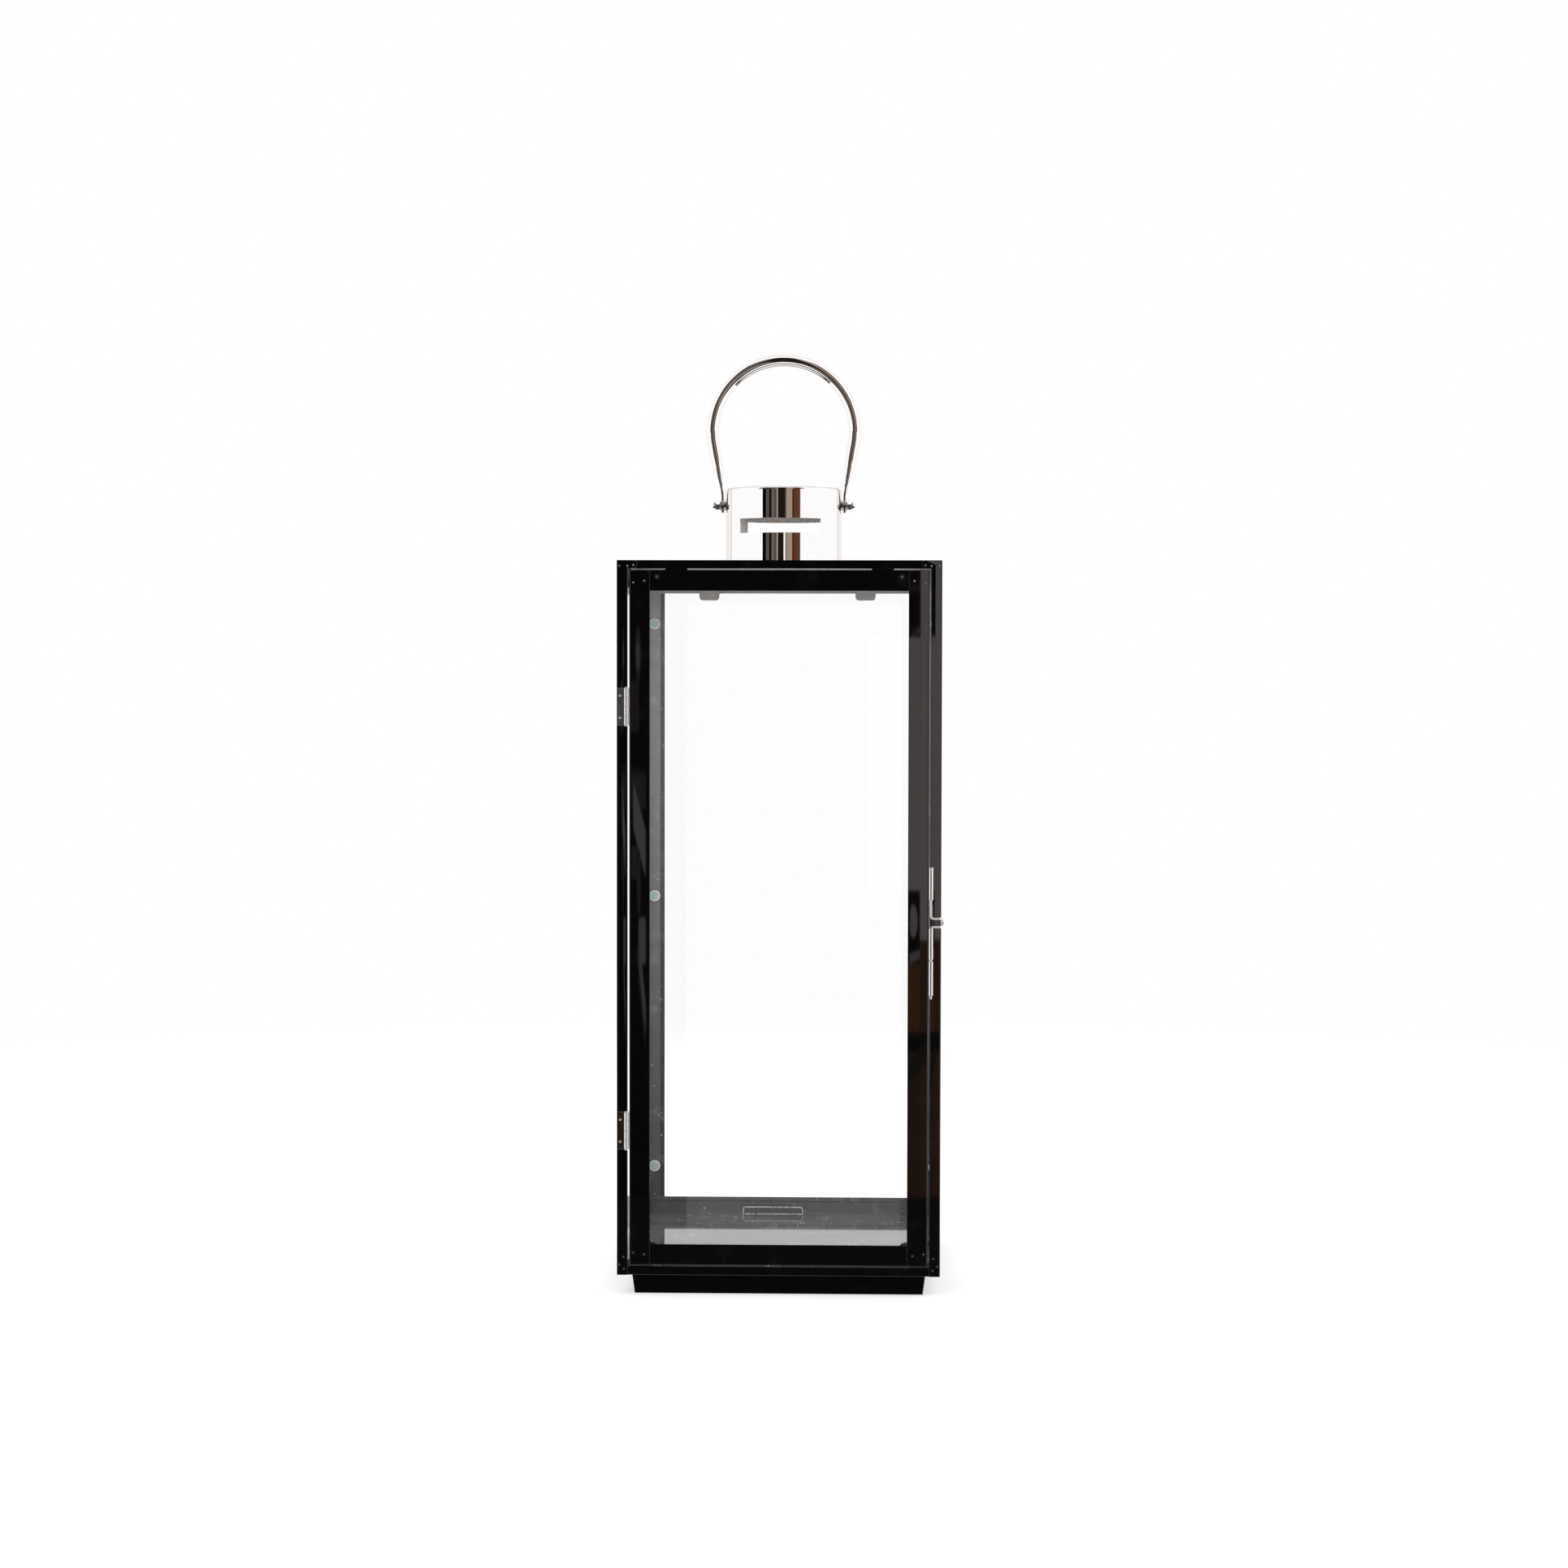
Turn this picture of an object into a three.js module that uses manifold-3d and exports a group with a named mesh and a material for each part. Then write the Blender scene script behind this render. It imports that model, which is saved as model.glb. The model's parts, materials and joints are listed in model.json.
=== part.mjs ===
// Hurricane candle lantern: a square frame of black sheet metal with glass on four sides,
// a hinged glass door held by a wire clip, and a polished round chimney with a swinging handle.
// Millimetres, +Z up. The door faces -Y. The origin is the middle of the underside.

import * as THREE from 'three';
import { mergeVertices } from 'three/addons/utils/BufferGeometryUtils.js';
import Module from 'manifold-3d';

const wasm = await Module();
wasm.setup();

// Body
const bodyWidth = 220; // across the posts, left to right
const bodyDepth = 220; // front to back
const bodyHeight = 486; // the posts' length
const sheet = 0.8; // sheet metal
const lap = 0.25; // clearance between pieces that touch
const cutOverrun = 2; // how far a cut runs past what it cuts
const cornerRadius = 2.5; // rounded corners of the sheet ends

// Plinth
const plinthHeight = 14.5; // what shows below the posts
const plinthInset = 9.2; // from the posts' outside to the plinth's top edge
const plinthTaper = 2.3; // how far the walls lean in at the bottom
const plinthSheet = 1;

// Posts
const frontFlange = 7.5; // beside the door
const postFlange = 18.5; // on the other faces
const hemWidth = 3; // folded edge beside the glass
const hemSetback = 2; // the fold stops this far from the rails
const earLength = 14; // front posts' tab over the roof's skirt

// Rails, base pan and roof pan
const frontRailHeight = 6;
const bottomRailHeight = 17;
const topRailHeight = 11.6;
const floorRise = 4.8; // the floor's top above the posts' foot
const roofSkirt = 5.6;
const roofHoleRadius = 33;

// Glass and what holds it
const glassThickness = 2.5;
const padRadius = 4.2;
const padEndInset = 40; // the outer pads' middle from the posts' ends
const floorTabWidth = 45;
const floorTabHeight = 5.5;
const floorTabOffset = -10; // the back tab isn't centred
const roofTabWidth = 15;
const roofTabTipWidth = 10;
const roofTabTipHeight = 4;
const roofTabDrop = 21.8;
const roofTabOffset = 58;

// Door
const doorGap = 1.1; // open line round the door
const doorFrameWidth = 14;
const doorEdgeDepth = 7;
const doorClipWidth = 14;
const doorClipOffset = 88;
const bottomClipHeight = 16;
const topClipHeight = 11;
const stopTabWidth = 15;
const stopTabDrop = 12;
const stopTabOffset = 70;

// Hinges
const hingeHeight = 25.4;
const hingeKnuckles = 4;
const hingeEndInset = 99; // each hinge's middle from the posts' ends
const barrelRadius = 1.4;
const hingePinRadius = 0.6;
const hingePinHead = 1.1; // radius of the pin's ends
const hingePinHeadHeight = 0.6;
const hingeLeaf = 0.65; // leaf thickness
const hingeLeafEdge = 0.3; // the post leaf's setback from the post's side
const barrelInset = 0.8; // the barrel's axis from the post's inner edge
const doorLeafDepth = 7;

// Wire clip on the door's free edge
const clipBarrelRadius = 1.6;
const clipStandoff = 0.6; // the barrels' clearance in front of the post
const clipAxisInset = 0.5; // the axis from the post's inner edge
const clipWireRadius = 0.8;
const clipDrop = 10.2; // the clip's middle below the body's middle
const clipBarrelBottoms = [-40.7, -16.3, 24]; // from the clip's middle
const clipBarrelLengths = [23.2, 21, 22.1];
const clipWireLength = 86.4;
const clipArmLow = 5.8; // the hook's two arms, from the clip's middle
const clipArmHigh = 11.4;
const clipReach = 1.5; // the hook's axis outside the post's side
const clipHookDepth = 4.6; // how far the hook goes back round the post
const clipBend = 1.8; // bend radius of the wire

// Chimney
const chimneyRadius = 41;
const chimneyHeight = 53.8;
const chimneySheet = 0.8;
const chimneyEdgeRadius = 2;
const chimneyFlange = 5; // turned in at the foot
const ventWidth = 56.4;
const ventBottom = 21.4; // above the chimney's foot
const ventHeight = 10.2;

// Handle and its pivots
const pivotRise = 42.7; // above the chimney's foot
const handleTubeRadius = 4.2;
const handleArchRadius = 50.3; // to the tube's middle
const handleArchRise = 51.5; // the arch's centre above the pivots
const bladeThickness = 1.6;
const bladeWidth = 12;
const bladeStraight = 6; // flat length above the pivot
const bladeTaper = 28; // length over which the blade opens into the tube
const bladeSquareShare = 0.4; // 1 is an oval section, less is squarer
const washerThickness = 0.8;
const washerRadius = 4.2;
const screwRadius = 2;
const screwHeadRadius = 3.5;
const screwHeadHeight = 2.2;
const screwCrownShare = 0.7; // of the head's radius, at its low end
const boreClearance = 0.3; // round a shank
const nutAcross = 7;
const nutHeight = 3;
const domeRadius = 2.9;
const domeHeight = 3;
const nutBore = 4; // blind, from the nut's inner face

// How finely round things are cut
const smallSides = 16;
const hexSides = 6;
const wireSides = 8;
const wireSteps = 80;
const chimneySides = 56;
const handleSides = 14;
const handleSteps = { end: 6, leg: 10, arch: 22 };
const cornerSteps = 6; // a plate's rounded corner
const edgeSteps = 3; // the chimney's rounded edge
const domeSteps = 4;
const quarter = Math.PI / 2;

// Worked out from the sizes above
const halfX = bodyWidth / 2;
const halfY = bodyDepth / 2;
const bodyBottom = plinthHeight;
const bodyTop = bodyBottom + bodyHeight;
const bodyMiddle = (bodyBottom + bodyTop) / 2;
const layer = sheet + lap; // one sheet and its clearance
const floorTop = bodyBottom + floorRise;
const roofUnder = bodyTop - sheet;
const railInset = layer; // rails and roof pan lie inside the posts
const basePanInset = 2 * layer;
const glassInset = 2 * layer + sheet; // past the post, the rail and the rail's hem
const padInset = postFlange - hemWidth - lap - padRadius; // a pad lies against the fold
const padRise = bodyHeight / 2 - padEndInset;
const topRailTop = bodyTop - roofSkirt - lap;
const doorLeft = -(halfX - frontFlange - doorGap);
const doorRight = -doorLeft;
const doorBottom = bodyBottom + frontRailHeight + doorGap;
const doorTop = bodyTop - roofSkirt - doorGap;
const doorGlassInset = 2 * layer;
const chimneyFoot = bodyTop + lap;
const pivotZ = chimneyFoot + pivotRise;

const enamel = { color: 0x0c0c0d, roughness: 0.18, metalness: 0.1 };
const polished = { color: 0xe2dedb, roughness: 0.08, metalness: 1 };
const paneGlass = { color: 0xf1f6f5, roughness: 0.03, metalness: 0, transparent: true, opacity: 0.2 };
const silicone = { color: 0x93a6a8, roughness: 0.5, metalness: 0 };

// A closed geometry as a solid that can be joined and cut
function toSolid(geometry) {
  const bare = geometry.index ? geometry.toNonIndexed() : geometry.clone();
  bare.deleteAttribute('normal');
  bare.deleteAttribute('uv');
  const merged = mergeVertices(bare);
  const kept = [];
  for (let i = 0; i < merged.index.count; i += 3) {
    const [a, b, c] = [0, 1, 2].map((k) => merged.index.getX(i + k));
    if (a !== b && b !== c && c !== a) kept.push(a, b, c);
  }
  const triVerts = new Uint32Array(kept);
  if (signedVolume(merged.attributes.position, triVerts) < 0) triVerts.reverse();
  const vertProperties = new Float32Array(merged.attributes.position.array);
  return new wasm.Manifold(new wasm.Mesh({ numProp: 3, vertProperties, triVerts }));
}

function signedVolume(position, triangles) {
  const corner = [0, 1, 2].map(() => new THREE.Vector3());
  let sum = 0;
  for (let i = 0; i < triangles.length; i += 3) {
    corner.forEach((v, k) => v.fromBufferAttribute(position, triangles[i + k]));
    sum += corner[0].dot(corner[1].clone().cross(corner[2]));
  }
  return sum / 6;
}

function fromSolid(solid) {
  const made = solid.getMesh();
  const geometry = new THREE.BufferGeometry();
  geometry.setAttribute('position', new THREE.BufferAttribute(made.vertProperties, 3));
  geometry.setIndex(new THREE.BufferAttribute(made.triVerts, 1));
  geometry.computeVertexNormals();
  return geometry;
}

const joinSolids = (geometries) => geometries.map(toSolid).reduce((a, b) => a.add(b));
const join = (...geometries) => fromSolid(joinSolids(geometries));
const cut = (geometries, ...tools) => fromSolid(joinSolids(geometries).subtract(joinSolids(tools)));

// A box between two values of each axis, with its corners at exactly those values
function block(x0, x1, y0, y1, z0, z1) {
  const box = new THREE.BoxGeometry();
  const corners = box.attributes.position;
  for (let i = 0; i < corners.count; i += 1) {
    const pick = (value, low, high) => (value < 0 ? Math.min(low, high) : Math.max(low, high));
    const [x, y, z] = [corners.getX(i), corners.getY(i), corners.getZ(i)];
    corners.setXYZ(i, pick(x, x0, x1), pick(y, y0, y1), pick(z, z0, z1));
  }
  return box;
}

// An outline in X and Z, with a radius for each corner from the lower left round
function outline(x0, x1, z0, z1, [a, b, c, d]) {
  const shape = new THREE.Shape();
  shape.moveTo(x0 + a, z0);
  shape.lineTo(x1 - b, z0);
  if (b > 0) shape.absarc(x1 - b, z0 + b, b, -quarter, 0);
  shape.lineTo(x1, z1 - c);
  if (c > 0) shape.absarc(x1 - c, z1 - c, c, 0, quarter);
  shape.lineTo(x0 + d, z1);
  if (d > 0) shape.absarc(x0 + d, z1 - d, d, quarter, 2 * quarter);
  shape.lineTo(x0, z0 + a);
  if (a > 0) shape.absarc(x0 + a, z0 + a, a, 2 * quarter, 3 * quarter);
  return shape;
}

// A plate of that outline, standing in X and Z, from y0 back by its thickness
function standingPlate(shape, y0, thickness) {
  const options = { depth: thickness, bevelEnabled: false, curveSegments: cornerSteps };
  const plate = new THREE.ExtrudeGeometry(shape, options).rotateX(quarter);
  return plate.translate(0, y0 + thickness, 0);
}

// A round bar or dome round the Z axis: pairs of radius and height, from the lower end up
function turned(profile, sides) {
  const points = profile.map(([r, z]) => new THREE.Vector2(r, z));
  return new THREE.LatheGeometry(points, sides).rotateX(quarter);
}

const rod = (radius, z0, z1, sides) => turned([[0, z0], [radius, z0], [radius, z1], [0, z1]], sides);

function ring(inner, outer, z0, z1, sides) {
  return turned([[inner, z0], [outer, z0], [outer, z1], [inner, z1], [inner, z0]], sides);
}

// A closed skin through rings of points, with a flat cap at each end
function loft(rings) {
  const count = rings[0].length;
  const points = rings.flat();
  const triangles = [];
  rings.slice(1).forEach((unused, i) => {
    for (let k = 0; k < count; k += 1) {
      const next = (k + 1) % count;
      const [a, b, c, d] = [i * count + k, i * count + next, (i + 1) * count + next, (i + 1) * count + k];
      triangles.push(a, b, c, a, c, d);
    }
  });
  const last = (rings.length - 1) * count;
  for (let k = 1; k < count - 1; k += 1) {
    triangles.push(0, k + 1, k, last, last + k, last + k + 1);
  }
  const geometry = new THREE.BufferGeometry().setFromPoints(points);
  geometry.setIndex(triangles);
  return geometry;
}

function piece(name, geometry, finish, place = [0, 0, 0]) {
  const mesh = new THREE.Mesh(geometry, new THREE.MeshStandardMaterial(finish));
  mesh.name = name;
  mesh.position.set(...place);
  return mesh;
}

// The three fixed faces. In a face's own frame X runs along it and Y points out.
const sideFace = { out: halfX, halfLength: halfY, paneShort: glassThickness, tabOffset: 0 };
const faces = [
  { name: 'back', turn: 0, out: halfY, halfLength: halfX, paneShort: 0, tabOffset: floorTabOffset },
  { name: 'left', turn: quarter, ...sideFace },
  { name: 'right', turn: -quarter, ...sideFace },
];

// Where a bent tab stands behind a face's pane
const tabPlace = (face) => face.out - glassInset - glassThickness - lap - sheet;

// A tray with tapered walls and a closed underside
function plinth() {
  const top = floorTop - sheet - lap;
  const shell = (x, y, z0, z1, lean) => {
    const corners = [[-1, -1], [1, -1], [1, 1], [-1, 1]];
    const ringAt = (z, pull) => corners
      .map(([sx, sy]) => new THREE.Vector3(sx * (x - pull), sy * (y - pull), z));
    return loft([ringAt(z0, lean), ringAt(z1, 0)]);
  };
  const x = halfX - plinthInset;
  const y = halfY - plinthInset;
  const hollow = shell(x - plinthSheet, y - plinthSheet, plinthSheet, top + cutOverrun, plinthTaper);
  return cut([shell(x, y, 0, top, plinthTaper)], hollow);
}

// The floor with its turned-down skirt, and a low tab in front of each fixed pane
function basePan() {
  const x = halfX - basePanInset;
  const y = halfY - basePanInset;
  const plate = block(-x, x, -y, y, bodyBottom, floorTop);
  const hollow = block(
    sheet - x, x - sheet, sheet - y, y - sheet, bodyBottom - cutOverrun, floorTop - sheet);
  const tabs = faces.map((face) => {
    const half = floorTabWidth / 2;
    const shape = outline(-half, half, floorTop - sheet / 2, floorTop + floorTabHeight,
      [0, 0, cornerRadius, cornerRadius]);
    const tab = standingPlate(shape, tabPlace(face), sheet).translate(face.tabOffset, 0, 0);
    return toSolid(tab.rotateZ(face.turn));
  });
  const pan = toSolid(plate).subtract(toSolid(hollow));
  return fromSolid(tabs.reduce((a, b) => a.add(b), pan));
}

// The roof with its skirt and chimney hole, tabs that hold the panes, and stops for the door
function roofPan() {
  const x = halfX - railInset;
  const y = halfY - railInset;
  const skirtFoot = bodyTop - roofSkirt;
  const plate = block(-x, x, -y, y, skirtFoot, bodyTop);
  const hollow = block(
    sheet - x, x - sheet, sheet - y, y - sheet, skirtFoot - cutOverrun, roofUnder);
  const hole = rod(roofHoleRadius, skirtFoot - cutOverrun, bodyTop + cutOverrun, chimneySides);
  const root = roofUnder + sheet / 2;
  const paneTab = (face, side) => {
    const foot = roofUnder - roofTabDrop;
    const shape = new THREE.Shape();
    shape.moveTo(-roofTabTipWidth / 2, foot);
    shape.lineTo(roofTabTipWidth / 2, foot);
    shape.quadraticCurveTo(roofTabWidth / 2, foot, roofTabWidth / 2, foot + roofTabTipHeight);
    shape.lineTo(roofTabWidth / 2, root);
    shape.lineTo(-roofTabWidth / 2, root);
    shape.lineTo(-roofTabWidth / 2, foot + roofTabTipHeight);
    shape.quadraticCurveTo(-roofTabWidth / 2, foot, -roofTabTipWidth / 2, foot);
    const tab = standingPlate(shape, tabPlace(face), sheet).translate(side * roofTabOffset, 0, 0);
    return toSolid(tab.rotateZ(face.turn));
  };
  const stopTab = (side) => {
    const middle = side * stopTabOffset;
    const shape = outline(middle - stopTabWidth / 2, middle + stopTabWidth / 2,
      roofUnder - stopTabDrop, root, [cornerRadius, cornerRadius, 0, 0]);
    return toSolid(standingPlate(shape, doorEdgeDepth + lap - halfY, sheet));
  };
  const tabs = [-1, 1].flatMap((side) => [...faces.map((face) => paneTab(face, side)), stopTab(side)]);
  const pan = toSolid(plate).subtract(toSolid(hollow)).subtract(toSolid(hole));
  return fromSolid(tabs.reduce((a, b) => a.add(b), pan));
}

// An angle of folded sheet, drawn inwards from its outer corner, with its foot at zero
function post(sx, sy) {
  const front = sy < 0;
  const inwards = (a0, a1, b0, b1, z0, z1) => block(-sx * a0, -sx * a1, -sy * b0, -sy * b1, z0, z1);
  const hemFoot = bottomRailHeight + hemSetback;
  const hemTop = bodyHeight - roofSkirt - lap - topRailHeight - hemSetback;
  const faceWidth = front ? frontFlange : postFlange;
  const parts = [
    inwards(0, faceWidth, 0, sheet, 0, bodyHeight),
    inwards(0, sheet, 0, postFlange, 0, bodyHeight),
    inwards(sheet / 2, 2 * sheet, postFlange - hemWidth, postFlange, hemFoot, hemTop),
  ];
  if (front) {
    const radii = [0, cornerRadius, 0, 0];
    const ear = standingPlate(outline(0, earLength, bodyHeight - roofSkirt, bodyHeight, radii), 0, sheet);
    parts.push(sx < 0 ? ear : ear.scale(-1, 1, 1));
  } else {
    parts.push(inwards(postFlange - hemWidth, postFlange, sheet / 2, 2 * sheet, hemFoot, hemTop));
  }
  return join(...parts);
}

// A flat strip behind the posts, with its edge beside the glass folded inwards
function rail(face, z0, z1, hemAtTop) {
  const end = face.halfLength - glassInset - lap;
  const outside = face.out - railInset;
  const hemFoot = hemAtTop ? z1 - hemWidth : z0;
  const strip = block(-end, end, outside - sheet, outside, z0, z1);
  const hem = block(-end, end, outside - 2 * sheet, outside - sheet / 2, hemFoot, hemFoot + hemWidth);
  return join(strip, hem).rotateZ(face.turn);
}

function frontRail() {
  const end = halfX - glassInset - lap;
  const outside = railInset - halfY;
  return block(-end, end, outside, outside + sheet, bodyBottom, bodyBottom + frontRailHeight);
}

function pane(face) {
  const end = face.halfLength - glassInset - lap - face.paneShort;
  const outside = face.out - glassInset;
  const sheetOfGlass = block(
    -end, end, outside - glassThickness, outside, floorTop + lap, roofUnder - lap);
  return sheetOfGlass.rotateZ(face.turn);
}

// A round pad between a post's flange and the glass, on the face's left or right edge
function pad(face, side, level) {
  const thickness = glassInset - sheet - 2 * lap;
  const disc = rod(padRadius, 0, thickness, smallSides).rotateX(quarter);
  const x = side * (face.halfLength - padInset);
  return disc.translate(x, face.out - sheet - lap, bodyMiddle + level * padRise).rotateZ(face.turn);
}

// An upright of the door: a front flange with rounded inner corners and a turned-back edge
function doorStile(side) {
  const front = -halfY;
  const radii = [0, cornerRadius, cornerRadius, 0];
  const shape = outline(0, doorFrameWidth, doorBottom, doorTop, radii);
  const face = standingPlate(shape, front, sheet);
  const edge = block(0, sheet, front, front + doorEdgeDepth, doorBottom, doorTop);
  const mirrored = [face, edge].map((part) => part.scale(-side, 1, 1));
  return join(...mirrored).translate(side * doorRight, 0, 0);
}

// A cross member of the door, behind the uprights, with two clips that hold the glass
function doorRail(atTop) {
  const end = doorRight - layer;
  const front = layer - halfY;
  const back = doorEdgeDepth - halfY;
  const edgeZ = atTop ? doorTop : doorBottom;
  const into = atTop ? -1 : 1;
  const clipY = doorGlassInset + glassThickness + lap - halfY;
  const clipHeight = atTop ? topClipHeight : bottomClipHeight;
  const clipEnd = edgeZ + into * clipHeight;
  const low = Math.min(clipEnd, edgeZ + into * sheet / 2);
  const high = Math.max(clipEnd, edgeZ + into * sheet / 2);
  const round = doorClipWidth / 2 - lap;
  const radii = atTop ? [round, round, 0, 0] : [0, 0, round, round];
  const clips = [-1, 1].map((side) => {
    const middle = side * doorClipOffset;
    const half = doorClipWidth / 2;
    return standingPlate(outline(middle - half, middle + half, low, high, radii), clipY, sheet);
  });
  return join(
    block(-end, end, front, front + sheet, edgeZ, edgeZ + into * doorFrameWidth),
    block(-end, end, front, back, edgeZ, edgeZ + into * sheet),
    ...clips,
  );
}

function doorPane() {
  const end = doorRight - layer;
  const front = doorGlassInset - halfY;
  return block(-end, end, front, front + glassThickness, doorBottom + layer, doorTop - layer);
}

// Hinges. Each is drawn round its own axis, with its middle at zero height.
const hingeX = -(halfX - frontFlange + barrelInset);
const hingeY = -(halfY + lap + barrelRadius);
const hingeHeights = { lower: bodyBottom + hingeEndInset, upper: bodyTop - hingeEndInset };
const knucklePitch = hingeHeight / hingeKnuckles;

function knuckleSpans(first) {
  const spans = [];
  for (let k = first; k < hingeKnuckles; k += 2) {
    const low = k * knucklePitch - hingeHeight / 2;
    spans.push([low + lap / 2, low + knucklePitch - lap / 2]);
  }
  return spans;
}

function hingeHalf(first, plate, bridge) {
  const solids = [toSolid(plate)];
  const bores = [];
  knuckleSpans(first).forEach(([z0, z1]) => {
    solids.push(toSolid(rod(barrelRadius, z0, z1, smallSides)), toSolid(bridge(z0, z1)));
    bores.push(toSolid(rod(hingePinRadius + boreClearance, z0 - cutOverrun, z1 + cutOverrun, smallSides)));
  });
  return fromSolid(bores.reduce((a, b) => a.subtract(b), solids.reduce((a, b) => a.add(b))));
}

// The leaf on the post's face
function postLeaf() {
  const y1 = -halfY - lap - hingeY;
  const y0 = y1 - hingeLeaf;
  const edge = -(halfX - hingeLeafEdge) - hingeX;
  const plate = block(edge, -barrelRadius - lap, y0, y1, -hingeHeight / 2, hingeHeight / 2);
  return hingeHalf(1, plate, (z0, z1) => block(edge / 2, 0, y0, y1, z0, z1));
}

// The leaf on the door's edge, in the open line between door and post
function doorLeaf() {
  const x1 = doorLeft - lap - hingeX;
  const x0 = x1 - (doorGap - 2 * lap);
  const plate = block(x0, x1, barrelRadius + lap, doorLeafDepth, -hingeHeight / 2, hingeHeight / 2);
  return hingeHalf(0, plate, (z0, z1) => block(x0, x1, 0, doorLeafDepth / 2, z0, z1));
}

function hingePin() {
  const low = -hingeHeight / 2 - lap;
  const high = hingeHeight / 2 + lap;
  return turned([
    [0, low - hingePinHeadHeight], [hingePinHead, low - hingePinHeadHeight / 2], [hingePinHead, low],
    [hingePinRadius, low], [hingePinRadius, high],
    [hingePinHead, high], [hingePinHead, high + hingePinHeadHeight / 2], [0, high + hingePinHeadHeight],
  ], smallSides);
}

// Wire clip. Drawn round its own axis, with the clip's middle at zero height.
const clipX = halfX - frontFlange + clipAxisInset;
const clipY = -(halfY + clipStandoff + clipBarrelRadius);
const clipZ = bodyMiddle - clipDrop;

// One leaf in the open line beside the door, with its front edge rolled into barrels
function clipGuide() {
  const x0 = doorRight + lap - clipX;
  const x1 = x0 + doorGap - 2 * lap;
  const spans = clipBarrelBottoms.map((z0, i) => [z0, z0 + clipBarrelLengths[i]]);
  const barrels = spans.flatMap(([z0, z1]) => [
    rod(clipBarrelRadius, z0, z1, smallSides),
    block(x0, x1, 0, clipBarrelRadius + lap + sheet, z0, z1),
  ]);
  const [low, high] = [spans[0][0], spans.at(-1)[1]];
  const leaf = block(x0, x1, clipBarrelRadius + lap, doorEdgeDepth, low, high);
  const bore = rod(clipWireRadius + boreClearance, low - cutOverrun, high + cutOverrun, smallSides);
  return cut([leaf, ...barrels], bore);
}

// Up through the lower barrels, out across the post, round its side and back, then up again
function clipWire() {
  const reach = halfX + clipReach - clipX;
  const back = clipHookDepth;
  const end = clipWireLength / 2;
  const corners = [
    [0, 0, -end], [0, 0, clipArmLow], [reach, 0, clipArmLow], [reach, back, clipArmLow],
    [reach, back, clipArmHigh], [reach, 0, clipArmHigh], [0, 0, clipArmHigh], [0, 0, end],
  ].map((corner) => new THREE.Vector3(...corner));
  const path = new THREE.CurvePath();
  let from = corners[0];
  corners.slice(1, -1).forEach((corner, i) => {
    const before = corner.clone().sub(corners[i]);
    const after = corners[i + 2].clone().sub(corner);
    const bendStart = corner.clone().addScaledVector(before.normalize(), -clipBend);
    const bendEnd = corner.clone().addScaledVector(after.normalize(), clipBend);
    path.add(new THREE.LineCurve3(from, bendStart));
    path.add(new THREE.QuadraticBezierCurve3(bendStart, corner, bendEnd));
    from = bendEnd;
  });
  path.add(new THREE.LineCurve3(from, corners.at(-1)));
  const section = new THREE.Shape().absarc(0, 0, clipWireRadius, 0, 2 * Math.PI);
  const options = { steps: wireSteps, extrudePath: path, curveSegments: wireSides / 2 };
  return fromSolid(toSolid(new THREE.ExtrudeGeometry(section, options)));
}

// Chimney: a can closed at the top, with a slot through the front and the back
function chimney() {
  const inner = chimneyRadius - chimneySheet;
  const edge = chimneyEdgeRadius;
  const [centre, centreZ] = [chimneyRadius - edge, chimneyHeight - edge];
  const edgeArc = (radius) => Array.from({ length: edgeSteps + 1 }, (unused, k) => {
    const angle = (quarter * k) / edgeSteps;
    return [centre + radius * Math.cos(angle), centreZ + radius * Math.sin(angle)];
  });
  const wall = turned([
    [inner - chimneyFlange, 0], [chimneyRadius, 0],
    ...edgeArc(edge), [0, chimneyHeight], [0, chimneyHeight - chimneySheet],
    ...edgeArc(edge - chimneySheet).reverse(),
    [inner, chimneySheet], [inner - chimneyFlange, chimneySheet], [inner - chimneyFlange, 0],
  ], chimneySides);
  const half = ventWidth / 2;
  const far = chimneyRadius + cutOverrun;
  const vents = block(-half, half, -far, far, ventBottom, ventBottom + ventHeight);
  const holes = rod(screwRadius + boreClearance, -far, far, smallSides).rotateY(quarter);
  return cut([wall], vents, holes.translate(0, 0, pivotRise));
}

// Handle: a round tube bent into an arch, its two ends pressed flat and drilled.
// Drawn round the pivots' axis, which is at zero height.
const bladeInside = chimneyRadius + washerThickness + 2 * lap;
const bladeMiddle = bladeInside + bladeThickness / 2;

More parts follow.
